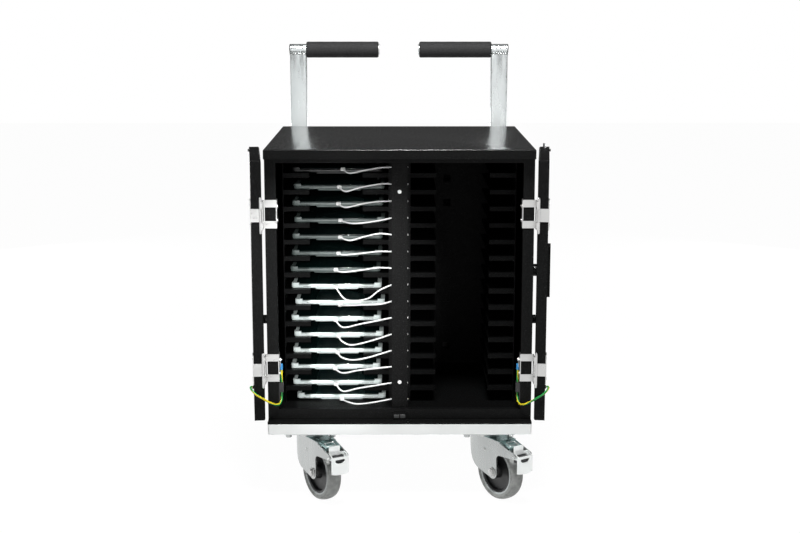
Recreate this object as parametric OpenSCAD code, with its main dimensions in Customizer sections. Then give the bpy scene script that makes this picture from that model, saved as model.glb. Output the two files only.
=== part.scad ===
// Charging cart for tablets: a two-door steel cabinet on a board with four swivel casters.
// Millimetres, +Z up, front towards -Y. The origin lies on the floor under the middle of the cart.

/* [Cabinet] */
// Space from a side panel to the outer wall of its bay
wall_inset = 32; // [30:0.5:40]
// Space beside a tablet in its bay
tablet_side_room = 30.6; // [26:0.1:40]
// Space from the front frame to the bays
front_room = 78; // [72:0.5:90]
// Space ahead of and behind a tablet in its bay
tablet_end_room = 72; // [60:0.5:90]
// Depth of the compartment behind the bays
rear_room = 94; // [90:0.5:140]
// Thickness of the painted steel sheet
sheet = 1.2; // [1:0.1:1.5]
// Number of ledge pairs in each bay
ledge_count = 14; // [12:1:15]
// Height from one ledge to the next
slot_pitch = 36.2; // [34:0.1:40]
// Space from the top ledge to the underside of the cover
head_room = 60.6; // [55:0.1:80]
// How far the cover and the board reach ahead of the front frame
front_over = 23.5; // [22:0.5:26]
// Height of the cover's skirt
cap_h = 20.2; // [18:0.1:26]
// Height of the plinth tray
tray_h = 5; // [4.6:0.1:8]
// Height of the bay floor above the plinth tray
floor_rise = 15; // [13:0.5:20]
// Width of the front stiles
stile_w = 23.4; // [22:0.1:26]
// Depth of the fold behind each stile
stile_d = 20; // [18:0.5:22]

/* [Board and casters] */
// Thickness of the base board
board_t = 22; // [18:0.5:28]
// Corner radius of the base board
board_r = 6; // [3:0.5:12]
// Diameter of the caster wheels
wheel_d = 125; // [115:1:130]
// Width of the caster wheels
wheel_w = 32; // [28:0.5:34]
// Space from the top of a wheel to the board
wheel_headroom = 25; // [24:0.5:30]
// Distance of the wheel axle behind the swivel axis
trail = 45; // [42:0.5:48]
// Distance of the swivel axes from the side panels
side_inset = 90; // [87:1:97]
// Distance of the front swivel axes behind the front frame
front_inset = 37; // [35:1:60]
// Distance of the rear swivel axes ahead of the rear panel
rear_inset = 48; // [48:1:70]
// Direction of the front left wheel, from straight ahead towards +X
front_left_turn = 31.5; // [0:0.5:60]
// Direction of the front right wheel, from straight ahead towards +X
front_right_turn = 35; // [0:0.5:60]
// Direction of the rear wheels, from straight back outwards
rear_turn = 20; // [0:0.5:30]

/* [Doors] */
// Thickness of a door
door_t = 22.9; // [22:0.1:25]
// Gap between a closed door and the front frame
door_gap = 4.7; // [4.5:0.1:6]
// Gap between the two closed doors
centre_gap = 3; // [2:0.1:5]
// Opening angle of the doors as they rest
door_open = 264; // [250:1:265]
// Height of the upper hinge, as a share of the door's height from its foot
upper_hinge_share = 0.795; // [0.7:0.005:0.85]
// Height of the lower hinge, as a share of the door's height from its foot
lower_hinge_share = 0.2; // [0.15:0.005:0.3]
// Height of the lock handle's axis, as a share of the door's height from its foot
lock_share = 0.5; // [0.4:0.01:0.6]
// Length of the lock handle
lock_handle_l = 100; // [80:1:120]
// Travel of the two lock rods
rod_travel = 12; // [10:0.5:14]

/* [Push handles] */
// Height of the handle tubes above the cover
push_rise = 183.3; // [150:0.1:260]
// Diameter of the handle tubes
push_tube_d = 26.9; // [22:0.1:30]
// Diameter of the foam grips
foam_d = 38.3; // [32:0.1:44]
// Width of the handle posts
post_w = 40; // [35:1:45]
// Depth of the handle posts
post_d = 20; // [15:1:25]
// Distance of the handle posts from the side panels
post_inset = 40.5; // [39:0.5:45]

/* [Load] */
// Width of a tablet in its case
tablet_w = 196; // [180:1:198]
// Length of a tablet in its case
tablet_l = 266; // [240:1:280]
// Thickness of a tablet in its case
tablet_t = 7.4; // [6:0.1:9]
// Diameter of a charging cable
cable_d = 3.4; // [2.5:0.1:4]
// Diameter of an earth wire
earth_d = 4.4; // [3:0.1:5]

/* [Hidden] */
$fn = 40;
small_fn = 24;
over = 1;
seat_gap = 0.3;
run_gap = 0.08;
wheel_fn = 120;

// Frame of the cabinet
divider_x = 23.4;
body_w = 2 * (divider_x + tablet_w + tablet_side_room + wall_inset);
body_d = front_room + tablet_l + tablet_end_room + rear_room;
body_y = 7;
y_front = body_y - body_d / 2;
y_back = body_y + body_d / 2;
side_x = body_w / 2;
caster_h = wheel_d + wheel_headroom;
board_z = caster_h + board_t;
tray_z = board_z + tray_h;
tray_over = 21.5;
floor_z = tray_z + floor_rise;
top_ledge_z = floor_z + ledge_count * slot_pitch;
cap_z = top_ledge_z + head_room + sheet;
cap_low = cap_z - cap_h;

// Front rails
top_rail_z = cap_low - sheet;
top_rail_h = 9;
bottom_rail_h = 22.6;
rail_fold_d = 12;

// Bays
wall_x = side_x - wall_inset;
bay_y = y_front + front_room;
partition_y = y_back - rear_room;
ledge_w = 55.3;
ledge_front_gap = 3;
ledge_y = bay_y + ledge_front_gap;
ledge_end_gap = 35;
ledge_l = partition_y - ledge_y - ledge_end_gap;
ledge_front_h = 9.6;
ledge_side_h = 12;
flange_lap = 5;
flange_w = side_x - wall_x + flange_lap;
rear_flange_w = 52;
knockout_w = 17;
knockout_x = 114;
knockout_pitch = 58.3;
knockout_count = 8;
knockout_foot = 45.4;

// Centre post
post_half_w = 17;
post_setback = 15;
post_front_y = y_front + post_setback;
hole_setback = 42;
hole_y = y_front + hole_setback;
hole_rise = 18;
hole_r = 3.6;
post_screw_r = 4;
post_screw_t = 2;
post_screw_shank_r = 1.9;
post_screw_shank_l = 9;
post_screw_inset = 63.5;

// Rear panel
vent_w = 60;
vent_h = 3;
vent_pitch = 9;
vent_rows = 9;
vent_x = 95;
vent_rise = 278;
vent_foot = floor_z + vent_rise;
inlet_x = 120;
inlet_rise = 58;
inlet_z = floor_z + inlet_rise;
inlet_flange_w = 30;
inlet_flange_h = 70;
inlet_flange_t = 3;
inlet_body_w = 26;
inlet_body_h = 62;
inlet_body_l = 32;
inlet_mouth_w = 19;
inlet_mouth_h = 25;
inlet_mouth_d = 18;
inlet_mouth_drop = 14;
inlet_pin_w = 2;
inlet_pin_h = 4;
inlet_pin_step = 5;
switch_w = 13;
switch_h = 20;
switch_d = 14;
switch_rise = 18;
switch_gap = 0.5;
switch_axle_r = 1.5;
switch_tilt = 8;
charger_in = 33;
charger_side_gap = 27;
charger_room = 38;
charger_d = rear_room - charger_room;
charger_h = 300;
charger_foot = 60;

// Tablets and their cables
tablet_in_gap = 11.6;
tablet_x = -(divider_x + tablet_w / 2 + tablet_in_gap);
tablet_front_gap = 17;
tablet_y = bay_y + tablet_front_gap;
tablet_r = 8;
hump_inset = 51;
hump_w = tablet_w - 2 * hump_inset;
hump_h = 4;
corner_l = 16;
corner_rise = 4;
screen_inset = 9;
screen_t = 0.6;
plug_w = 8.6;
plug_h = 5.4;
tip_l = 5;

// Earth wires
lug_r = 4.6;
lug_t = 1;
sleeve_r = 3;
sleeve_l = 13;
strap_w = 4;
stud_r = 3.4;
stud_t = 2;
stud_inset = 10.4;
clip_w = 9.8;
clip_d = 16;
clip_h = 48;
clip_head_h = 21;
clip_foot_t = 2.2;
clip_drop = 82.26;
clip_setback = 4;
clip_y = y_front + clip_setback;

// Casters
wheel_r = wheel_d / 2;
axle_z = wheel_r;
plate_l = 115;
plate_w = 95;
plate_t = 5;
plate_r = 6;
bolt_dx = 47;
bolt_dy = 34;
bolt_r = 4;
bolt_head_r = 6.5;
bolt_head_h = 3.4;
nut_h = 6.5;
washer_r = 8;
washer_t = 1.6;
bolt_end = 0.4;
race_r = 28;
race_h = 4;
kingpin_r = 6;
kingpin_head_r = 11;
kingpin_head_h = 4.6;
crown_t = 3;
crown_drop = 17;
crown_low = caster_h - crown_drop;
collar_r = 26;
leg_in = 19.5;
leg_t = 3;
leg_end_r = 15;
axle_r = 5;
axle_head_r = 8.5;
axle_head_h = 6;
hub_r = 47;
hub_half_w = 13;
hub_web_half_w = 5;
hub_boss_r = 14;
hub_rim_t = 5;
hub_side_gap = 0.4;
tread_half_w = 6;
tread_side_drop = 2.5;
pivot_r = 2.5;
cheek_t = 2;
cheek_gap = 0.3;
pedal_t = 2.5;
pedal_w = 40;
pedal_reach = 11.5;
pedal_top = 4;
pedal_foot = 36;
pedal_slot_w = 18;
pedal_slot_h = 6;
tab_w = 26;
tab_h = 20;
tab_shift = 5;

// Doors and hinges
door_foot_gap = 2.8;
door_foot = tray_z + door_foot_gap;
door_head_gap = 3.3;
door_head = cap_low - door_head_gap;
door_h = door_head - door_foot;
door_in = y_front - door_gap;
door_out = door_in - door_t;
door_edge_r = 3.5;
door_free = centre_gap / 2;
barrel_r = 3;
leaf_t = 1.9;
hinge_out = 6.7;
hinge_x = side_x + hinge_out;
hinge_sink = 0.3;
hinge_y = door_out + barrel_r - hinge_sink;
knuckle_h = 66;
finial_h = 5.7;
finial_r = 2.8;
pin_r = 1.6;
frame_leaf_h = 60;
finger_h = 15.5;
door_finger_h = 27.7;
door_leaf_w = 26;
door_leaf_h = 64;
wrap_gap = 2;
plate_x0 = side_x + wrap_gap;
wrap_d = 22;
leaf_screw_r = 3.6;
leaf_screw_t = 1.4;
door_screw_t = 0.6;
leaf_screw_step = 15;
upper_hinge_z = door_foot + upper_hinge_share * door_h;
lower_hinge_z = door_foot + lower_hinge_share * door_h;
buffer_r = 3;
buffer_t = 3;
buffer_x = 34;
buffer_inset = 4.5;
stop_r = 10;
stop_end_gap = 64;
stop_rise = 171;
stop_y = y_front + side_x - stop_end_gap;
stop_z = tray_z + stop_rise;
catch_w = 28.8;
catch_h = 15;
catch_t = 4.2;
catch_top_h = 8;

// Lock
lock_x = 28.5;
lock_z = door_foot + lock_share * door_h;
lock_y = (door_in + door_out) / 2;
lock_handle_w = 22;
lock_handle_t = 15.4;
lock_boss_r = 14;
lock_boss_t = 8;
spindle_r = 5;
pitch_r = rod_travel / (PI / 2);
tooth_count = 14;
tooth_pitch = 2 * PI * pitch_r / tooth_count;
module_size = 2 * pitch_r / tooth_count;
addendum = 0.8 * module_size;
dedendum = 1.3 * module_size;
pinion_t = 5;
rack_t = 4;
rack_back = 3.4;
rack_teeth = 9;
rod_r = 3;
rod_gap = 0.4;
rod_rise = 11.2;
rod_drop = 6;
cover_h = 118;
cover_w = 44;
cover_t = 7;
cover_wall = 1.5;
cover_r = 5;
cylinder_r = 7;
cylinder_l = 12;
cylinder_out = 0.6;
keyway_w = 1.6;
keyway_h = 8;
keyway_d = 5;

// Push handles
push_z = cap_z + push_rise;
push_wall = 2;
push_y = y_back + post_d / 2;
post_x = side_x - post_inset;
push_reach = 19.3;
push_out = post_x + push_reach;
push_in = 46.8;
foam_end_gap = 2.1;
foam_post_gap = 19.1;
foam_in = push_in + foam_end_gap;
foam_out = post_x - foam_post_gap;
plug_flange_t = 2.5;
plug_body_l = 10;
post_l = 483.9;
push_foot = push_z - post_l;
push_bolt_foot = 30;
push_bolt_head = 30.4;
push_bolts = 3;
push_bolt_step = (cap_low - push_foot - push_bolt_foot - push_bolt_head) / (push_bolts - 1);

// Outline of a caster leg: distance behind the swivel axis as a share of the wheel's radius,
// and height above the axle as a share of the leg's rise
LEG_BACK_shares = [[-0.69, 1], [-0.69, 0.816], [-0.55, 0.293], [-0.12, -0.035], [0.36, -0.137]];
LEG_FRONT_shares = [[0.92, 0.496], [1.06, 0.603]];
BEAK_shares = [[1.84, 0.656], [1.98, 0.762], [1.86, 0.816], [1.1, 1]];
BLUNT_shares = [[1.12, 0.709], [1, 1]];
PIVOT_shares = [1.824, 0.7];
bridge_share = 0.62;

// Routes of the charging cables from plug to centre post, from the top row down:
// place across, place behind the front frame, height above the ledge that carries the tablet
CABLE_ROUTES = [
    [[-121, 80, 8], [-106, 60, 3], [-78, 52, 9], [-42, 45, 16], [-17, 42, 18]],
    [[-129, 80, 6], [-114, 60, 0], [-81, 52, 10], [-37, 45, 18], [-17, 42, 18]],
    [[-131, 80, 6], [-114, 60, 2], [-77, 52, 11], [-49, 45, 16], [-17, 42, 18]],
    [[-127, 80, 6], [-103, 58, 4], [-76, 52, 6], [-42, 45, 12], [-17, 42, 18]],
    [[-128, 80, 6], [-106, 58, 3], [-73, 50, 13], [-41, 45, 20], [-17, 42, 18]],
    [[-132, 80, 6], [-118, 62, 7], [-81, 52, 12], [-47, 46, 17], [-17, 42, 18]],
    [[-138, 80, 6], [-121, 60, 6], [-81, 52, 12], [-47, 46, 18], [-17, 42, 18]],
    [[-138, 80, 4], [-119, 58, -16], [-94, 50, -19], [-66, 46, -12], [-44, 44, 5], [-17, 42, 18]],
    [[-129, 80, 1], [-114, 60, 5], [-80, 52, 8], [-42, 45, 11], [-17, 42, 18]],
    [[-139, 80, 3], [-122, 58, -7], [-86, 50, 2], [-47, 45, 11], [-17, 42, 18]],
    [[-133, 80, 3], [-125, 60, -2], [-107, 54, -9], [-81, 50, -4], [-47, 45, 7], [-17, 42, 18]],
    [[-135, 80, 3], [-126, 60, -2], [-105, 54, -6], [-77, 50, -2], [-40, 45, 10], [-17, 42, 18]],
    [[-141, 80, 3], [-123, 60, -1], [-90, 52, 7], [-47, 45, 14], [-17, 42, 18]],
    [[-139, 80, 3], [-123, 60, -6], [-90, 52, 3], [-42, 45, 13], [-17, 42, 18]],
    [[-127, 80, 6], [-101, 58, 3], [-73, 52, 5], [-38, 45, 13], [-17, 42, 18]]
];
cable_rings = 12;
// Offsets of the tablets from their place, from the top row down
TABLET_shares = [0, 0.44, -0.03, 0.44, -0.17, -0.35, -0.82, -0.51, 0.41, -0.71, -0.03, -0.38, -1, -0.53, 0.64];
tablet_slack = 7.5;
// Route of the right earth wire: place beside the side panel, place behind the front frame,
// height above the middle of the lower hinge
EARTH_ROUTE = [
    [-29, 12, -7.26], [-29, 12, -29.26], [-29, 12, -55.26], [-29, 10, -64.26], [-28.5, 5, -72.26],
    [-25, -4, -78.76], [-16, -13, -77.76], [-4, -21.5, -69.76], [9, -27, -60.26], [21, -28.5, -52.26],
    [29, -26, -45.76], [33.5, -20.5, -41.76], [35.5, -14.5, -39.76], [34.5, -10.5, -39.26], [31, -10, -39.26]
];
earth_rings = 17;

// A box between two corners
module block(x, y, z) {
    translate([min(x), min(y), min(z)])
        cube([max(x) - min(x), max(y) - min(y), max(z) - min(z)]);
}

// The children and their mirror image across the middle of the cart
module both_sides() {
    children();
    mirror([1, 0, 0]) children();
}

// A flat plate with round corners, its foot at z = 0
module round_plate(w, l, t, r) {
    linear_extrude(t)
        round_outline(w, l, r);
}

module round_outline(w, l, r) {
    square([w, l - 2 * r], center = true);
    square([w - 2 * r, l], center = true);
    for (x = [-1, 1], y = [-1, 1])
        translate([x * (w / 2 - r), y * (l / 2 - r)])
            circle(r);
}

// A cylinder along Y, centred on its middle
module rod_y(r, l) {
    rotate([90, 0, 0])
        cylinder(r = r, h = l, center = true);
}

// A cylinder along X, centred on its middle
module rod_x(r, l) {
    rotate([0, 90, 0])
        cylinder(r = r, h = l, center = true);
}

// Cubic curve through a list of points, at u from 0 to the number of spans
function clamped(list, i) = list[max(0, min(len(list) - 1, i))];
function curve_at(p, u) =
    let (i = min(floor(u), len(p) - 2), t = u - i,
         a = clamped(p, i - 1), b = p[i], c = p[i + 1], d = clamped(p, i + 2))
    (2 * b + (c - a) * t + (2 * a - 5 * b + 4 * c - d) * t * t
        + (3 * b - a - 3 * c + d) * t * t * t) / 2;
function sampled(p, count) = [for (k = [0 : count - 1]) curve_at(p, k * (len(p) - 1) / (count - 1))];

// The square-on direction at each point of a path, carried along so that the tube doesn't twist
function carried(ahead, u) = let (w = u - (u * ahead) * ahead) w / norm(w);
function sideways(aheads, k, u) = k == len(aheads) ? []
    : let (w = carried(aheads[k], u)) concat([w], sideways(aheads, k + 1, w));

// One tube along a list of points, as a single closed mesh
tube_sides = 8;
module tube(path, r, across) {
    n = len(path);
    aheads = [for (k = [0 : n - 1])
        let (d = path[min(n - 1, k + 1)] - path[max(0, k - 1)]) d / norm(d)];
    across_at = sideways(aheads, 0, across);
    rings = [for (k = [0 : n - 1], s = [0 : tube_sides - 1])
        path[k] + r * (cos(s * 360 / tube_sides) * across_at[k]
            + sin(s * 360 / tube_sides) * cross(across_at[k], aheads[k]))];
    sides = [for (k = [0 : n - 2], s = [0 : tube_sides - 1])
        let (a = k * tube_sides + s, b = k * tube_sides + (s + 1) % tube_sides)
        each [[a, b, a + tube_sides], [b, b + tube_sides, a + tube_sides]]];
    last = (n - 1) * tube_sides;
    ends = [[for (s = [tube_sides - 1 : -1 : 0]) s], [for (s = [0 : tube_sides - 1]) last + s]];
    polyhedron(rings, concat(sides, ends));
}

// Places shared by several sub-parts
function ledge_z(n) = n < ledge_count ? top_ledge_z - n * slot_pitch : floor_z;
function route_point(row, p) = [p[0], y_front + p[1], ledge_z(row) + p[2]];

// Cabinet

module base_board() {
    depth = body_d + front_over;
    color("white")
        difference() {
            translate([0, y_back - depth / 2, caster_h])
                round_plate(body_w, depth, board_t, board_r);
            caster_bolt_places()
                translate([0, 0, caster_h - over])
                    cylinder(r = bolt_r + run_gap, h = board_t + 2 * over, $fn = small_fn);
        }
}

module bottom_tray() {
    color("dimgray")
        difference() {
            block([-side_x, side_x], [y_front - tray_over, y_back], [board_z, tray_z]);
            block([sheet - side_x, side_x - sheet], [y_front - tray_over + sheet, y_back - sheet],
                [board_z - over, tray_z - sheet]);
            translate([lock_x - rod_offset, lock_y, board_z - over])
                cylinder(r = rod_r + rod_gap, h = tray_h + 2 * over);
        }
}

module side_panel() {
    stile_x = side_x - stile_w;
    rear_x = side_x - rear_flange_w;
    difference() {
        union() {
            block([side_x - sheet, side_x], [y_front, y_back - sheet], [tray_z, cap_low]);
            block([stile_x, side_x], [y_front, y_front + sheet], [tray_z, cap_low]);
            block([stile_x, stile_x + sheet], [y_front, y_front + stile_d], [tray_z, cap_low]);
            block([side_x - flange_w, side_x], [y_front + sheet, y_back - sheet], [cap_low - sheet, cap_low]);
            block([rear_x, side_x], [y_back - 2 * sheet, y_back - sheet], [tray_z, cap_low]);
        }
        push_bolt_places()
            rod_y(bolt_r + run_gap, body_d);
    }
}

module side_panels() {
    color("dimgray")
        both_sides() side_panel();
}

module rear_panel() {
    color("dimgray")
        difference() {
            block([-side_x, side_x], [y_back - sheet, y_back], [tray_z, cap_low]);
            for (x = [-1, 1], k = [0 : vent_rows - 1])
                translate([x * vent_x, y_back, vent_foot + k * vent_pitch])
                    cube([vent_w, vent_h + over, vent_h], center = true);
            translate([inlet_x, y_back, inlet_z])
                cube([inlet_body_w + seat_gap, vent_h + over, inlet_body_h + seat_gap], center = true);
            both_sides() push_bolt_places()
                rod_y(bolt_r + run_gap, body_d);
        }
}

module top_cover() {
    color("dimgray")
        difference() {
            block([-side_x, side_x], [y_front - front_over, y_back], [cap_low, cap_z]);
            block([sheet - side_x, side_x - sheet], [y_front - front_over + sheet, y_back - sheet],
                [cap_low - over, cap_z - sheet]);
        }
}

module front_rails() {
    rail_x = side_x - stile_w;
    color("dimgray") {
        block([-rail_x, rail_x], [y_front, y_front + sheet], [top_rail_z - top_rail_h, top_rail_z]);
        block([-rail_x, rail_x], [y_front, y_front + rail_fold_d],
            [top_rail_z - top_rail_h, top_rail_z - top_rail_h + sheet]);
        block([-rail_x, rail_x], [y_front, y_front + sheet], [tray_z, tray_z + bottom_rail_h]);
        block([-rail_x, rail_x], [y_front, y_front + rail_fold_d],
            [tray_z + bottom_rail_h - sheet, tray_z + bottom_rail_h]);
    }
}

module bay_walls() {
    color("dimgray")
        both_sides() {
            block([wall_x - sheet, wall_x], [bay_y, partition_y], [floor_z, cap_low - sheet]);
            block([divider_x - sheet, divider_x], [bay_y, partition_y], [floor_z, cap_low - sheet]);
        }
}

module bay_floor() {
    floor_x = side_x - stile_w;
    color("dimgray") {
        block([-floor_x, floor_x], [y_front + sheet, partition_y], [floor_z - sheet, floor_z]);
        both_sides()
            block([floor_x - sheet, floor_x], [y_front + sheet, partition_y], [tray_z, floor_z]);
    }
}

// One ledge: its top plate, the fold at its front and the fold on the wall
module ledge(outer_x, inner_x, wall_side, z) {
    block([outer_x, inner_x], [ledge_y, ledge_y + ledge_l], [z - sheet, z]);
    block([outer_x, inner_x], [ledge_y, ledge_y + sheet], [z - ledge_front_h, z]);
    block([outer_x, outer_x + wall_side * sheet], [ledge_y, ledge_y + ledge_l], [z - ledge_side_h, z]);
}

module bay_ledges() {
    outer = wall_x - sheet;
    for (n = [0 : ledge_count - 1]) {
        ledge(outer, outer - ledge_w, -1, ledge_z(n));
        ledge(divider_x, divider_x + ledge_w, 1, ledge_z(n));
    }
}

module left_ledges() {
    color("dimgray")
        mirror([1, 0, 0]) bay_ledges();
}

module right_ledges() {
    color("dimgray")
        bay_ledges();
}

module centre_post() {
    inner = post_half_w - sheet;
    color("dimgray")
        difference() {
            union() {
                block([-post_half_w, post_half_w], [post_front_y, post_front_y + sheet],
                    [floor_z, cap_low - sheet]);
                both_sides() {
                    block([inner, post_half_w], [post_front_y, bay_y], [floor_z, cap_low - sheet]);
                    block([inner, divider_x], [bay_y - sheet, bay_y], [floor_z, cap_low - sheet]);
                }
            }
            for (n = [0 : ledge_count])
                translate([0, hole_y, ledge_z(n) + hole_rise])
                    rod_x(hole_r, 2 * post_half_w + over, $fn = small_fn);
            post_screw_places()
                rod_y(post_screw_shank_r + run_gap, 2 * post_screw_shank_l, $fn = small_fn);
        }
}

module post_screw_places() {
    for (z = [floor_z + post_screw_inset, cap_low - post_screw_inset - top_rail_h])
        translate([0, post_front_y, z])
            children();
}

module post_screws() {
    color("whitesmoke")
        post_screw_places() {
            translate([0, -post_screw_t / 2, 0])
                rod_y(post_screw_r, post_screw_t, $fn = small_fn);
            translate([0, post_screw_shank_l / 2, 0])
                rod_y(post_screw_shank_r, post_screw_shank_l, $fn = small_fn);
        }
}

module rear_partition() {
    color("dimgray")
        difference() {
            union() {
                block([-wall_x, wall_x], [partition_y, partition_y + sheet], [tray_z, cap_low - sheet]);
                block([flange_w - side_x, side_x - flange_w], [y_front, partition_y + sheet],
                    [cap_low - sheet, cap_low]);
            }
            for (x = [-1, 1], k = [0 : knockout_count - 1])
                translate([x * knockout_x, partition_y, floor_z + knockout_foot + k * knockout_pitch])
                    cube([knockout_w, knockout_w, knockout_w], center = true);
        }
}

// Push handles

module push_bolt_places() {
    for (k = [0 : push_bolts - 1])
        translate([post_x, y_back, push_foot + push_bolt_foot + k * push_bolt_step])
            children();
}

module push_handle() {
    tube_r = push_tube_d / 2;
    tube_x = (push_out + push_in) / 2;
    difference() {
        union() {
            block([post_x - post_w / 2, post_x + post_w / 2], [y_back, y_back + post_d],
                [push_foot, push_z]);
            translate([tube_x, push_y, push_z])
                rod_x(tube_r, push_out - push_in);
        }
        block([post_x - post_w / 2 + push_wall, post_x + post_w / 2 - push_wall],
            [y_back + push_wall, y_back + post_d - push_wall], [push_foot - over, push_z - tube_r]);
        translate([tube_x, push_y, push_z])
            rod_x(tube_r - push_wall, push_out - push_in + over);
        push_bolt_places()
            rod_y(bolt_r + run_gap, 2 * post_d + over);
    }
}

module push_handles() {
    color("silver")
        both_sides() push_handle();
}

module handle_end_plugs() {
    tube_r = push_tube_d / 2;
    color("black")
        both_sides()
            translate([0, push_y, push_z]) {
                translate([push_out + plug_flange_t / 2, 0, 0])
                    rod_x(tube_r, plug_flange_t);
                translate([push_out - plug_body_l / 2, 0, 0])
                    rod_x(tube_r - push_wall, plug_body_l);
                translate([push_in + plug_body_l / 2, 0, 0])
                    rod_x(tube_r - push_wall, plug_body_l);
            }
}

module foam_grips() {
    color("black")
        both_sides()
            translate([(foam_in + foam_out) / 2, push_y, push_z])
                difference() {
                    rod_x(foam_d / 2, foam_out - foam_in);
                    rod_x(push_tube_d / 2, foam_out - foam_in + over);
                }
}

// Bolts of the casters and of the push handles

module caster_bolt_places() {
    caster_places()
        for (x = [-1, 1], y = [-1, 1])
            translate([x * bolt_dx, y * bolt_dy, 0])
                children();
}

module caster_places() {
    for (x = [-swivel_x, swivel_x], y = [y_front + front_inset, y_back - rear_inset])
        translate([x, y, 0])
            children();
}

module caster_bolt() {
    low = caster_h - plate_t;
    translate([0, 0, board_z])
        cylinder(r = bolt_head_r, h = bolt_head_h, $fn = small_fn);
    translate([0, 0, low - washer_t - nut_h - bolt_end])
        cylinder(r = bolt_r, h = board_z + bolt_head_h - low + washer_t + nut_h + bolt_end);
    translate([0, 0, low - washer_t])
        cylinder(r = washer_r, h = washer_t);
    translate([0, 0, low - washer_t - nut_h])
        cylinder(r = bolt_head_r, h = nut_h, $fn = 6);
}

module push_bolt() {
    inner = 2 * sheet + nut_h;
    translate([0, (post_d - inner) / 2, 0])
        rod_y(bolt_r, post_d + inner + 2 * bolt_end);
    translate([0, post_d + nut_h / 2, 0])
        rotate([90, 0, 0])
            cylinder(r = bolt_head_r, h = nut_h, center = true, $fn = 6);
    translate([0, -2 * sheet - nut_h / 2, 0])
        rotate([90, 0, 0])
            cylinder(r = bolt_head_r, h = nut_h, center = true, $fn = 6);
}

module m8_bolts() {
    color("silver") {
        caster_bolt_places() caster_bolt();
        both_sides() push_bolt_places() push_bolt();
    }
}

// Hinges. They are drawn for the right side, with the door closed

module hinge_heights() {
    for (z = [lower_hinge_z, upper_hinge_z])
        translate([0, 0, z])
            children();
}

module knuckle(low, high) {
    translate([hinge_x, hinge_y, low])
        difference() {
            cylinder(r = barrel_r, h = high - low);
            translate([0, 0, -over])
                cylinder(r = pin_r + run_gap, h = high - low + 2 * over, $fn = small_fn);
        }
}

module hinge_frame_leaf() {
    half = door_finger_h / 2 + seat_gap;
    out_x = plate_x0 + leaf_t;
    wrap_x = side_x - stile_w - leaf_t;
    web_y = [hinge_y - barrel_r, hinge_y - barrel_r + leaf_t];
    notch_y = hinge_y + 3 * barrel_r;
    for (m = [0, 1]) mirror([0, 0, m]) {
        difference() {
            union() {
                knuckle(half, knuckle_h / 2);
                block([plate_x0, hinge_x], web_y, [half, frame_leaf_h / 2]);
            }
            translate([hinge_x, hinge_y, 0])
                cylinder(r = pin_r + run_gap, h = knuckle_h, $fn = small_fn);
        }
        block([plate_x0, out_x], [hinge_y - barrel_r, y_front], [half, frame_leaf_h / 2]);
        block([wrap_x, out_x], [y_front - leaf_t, y_front], [frame_leaf_h / 2 - finger_h, frame_leaf_h / 2]);
        translate([wrap_x - leaf_screw_t / 2, y_front + wrap_d / 2, leaf_screw_step])
            rod_x(leaf_screw_r, leaf_screw_t, $fn = small_fn);
    }
    block([plate_x0, out_x], [notch_y, y_front], [-half, half]);
    block([wrap_x, wrap_x + leaf_t], [y_front - leaf_t, y_front + wrap_d], [-frame_leaf_h / 2, frame_leaf_h / 2]);
}

module hinge_frame_leaves() {
    color("silver")
        both_sides() hinge_heights() hinge_frame_leaf();
}

module hinge_pins() {
    color("silver")
        both_sides() hinge_heights()
            translate([hinge_x, hinge_y, 0]) {
                cylinder(r = pin_r, h = knuckle_h + over, center = true, $fn = small_fn);
                for (m = [0, 1]) mirror([0, 0, m])
                    translate([0, 0, knuckle_h / 2]) {
                        cylinder(r = finial_r, h = finial_h - finial_r, $fn = small_fn);
                        translate([0, 0, finial_h - finial_r])
                            sphere(r = finial_r, $fn = small_fn);
                    }
            }
}

module hinge_door_leaf() {
    half = door_finger_h / 2;
    web_y = [hinge_y - barrel_r, hinge_y - barrel_r + leaf_t];
    edge_t = plate_x0 - side_x - seat_gap;
    difference() {
        union() {
            knuckle(-half, half);
            block([side_x, hinge_x], web_y, [-half, half]);
        }
        translate([hinge_x, hinge_y, 0])
            cylinder(r = pin_r + run_gap, h = 2 * knuckle_h, center = true, $fn = small_fn);
    }
    block([side_x, side_x + edge_t], [hinge_y - barrel_r, door_in + leaf_t], [-half, half]);
    block([side_x - door_leaf_w, side_x + edge_t], [door_in, door_in + leaf_t], [-half, half]);
    block([side_x - door_leaf_w, side_x], [door_in, door_in + leaf_t], [-door_leaf_h / 2, door_leaf_h / 2]);
    for (z = [-1, 1])
        translate([side_x - door_leaf_w / 2, door_in + leaf_t + door_screw_t / 2, z * 1.5 * leaf_screw_step])
            rod_y(leaf_screw_r, door_screw_t, $fn = small_fn);
}

// Doors. They are drawn closed on the right side, and swung to their rest

module door_at_rest() {
    translate([hinge_x, hinge_y, 0])
        rotate([0, 0, door_open])
            translate([-hinge_x, -hinge_y, 0])
                children();
}

module door_outline(inset) {
    w = side_x - door_free;
    r = door_edge_r - inset;
    translate([door_free + inset, door_out + door_edge_r])
        square([w - 2 * inset, door_t - door_edge_r - sheet]);
    translate([door_free + door_edge_r, door_out + inset])
        square([w - 2 * door_edge_r, door_t / 2]);
    for (x = [door_free + door_edge_r, side_x - door_edge_r])
        translate([x, door_out + door_edge_r])
            circle(r);
}

module door_shell() {
    difference() {
        translate([0, 0, door_foot])
            linear_extrude(door_h)
                door_outline(0);
        translate([0, 0, door_foot + sheet])
            linear_extrude(door_h - 2 * sheet)
                door_outline(sheet);
        block([door_free + sheet, side_x - sheet], [door_in - 2 * sheet, door_in],
            [door_foot + sheet, door_head - sheet]);
    }
}

module door_liner() {
    block([door_free, side_x], [door_in - sheet, door_in], [door_foot, door_head]);
    translate([side_x - stud_inset, door_in + stud_t / 2, earth_end_z])
        rod_y(stud_r, stud_t, $fn = small_fn);
}

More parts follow.
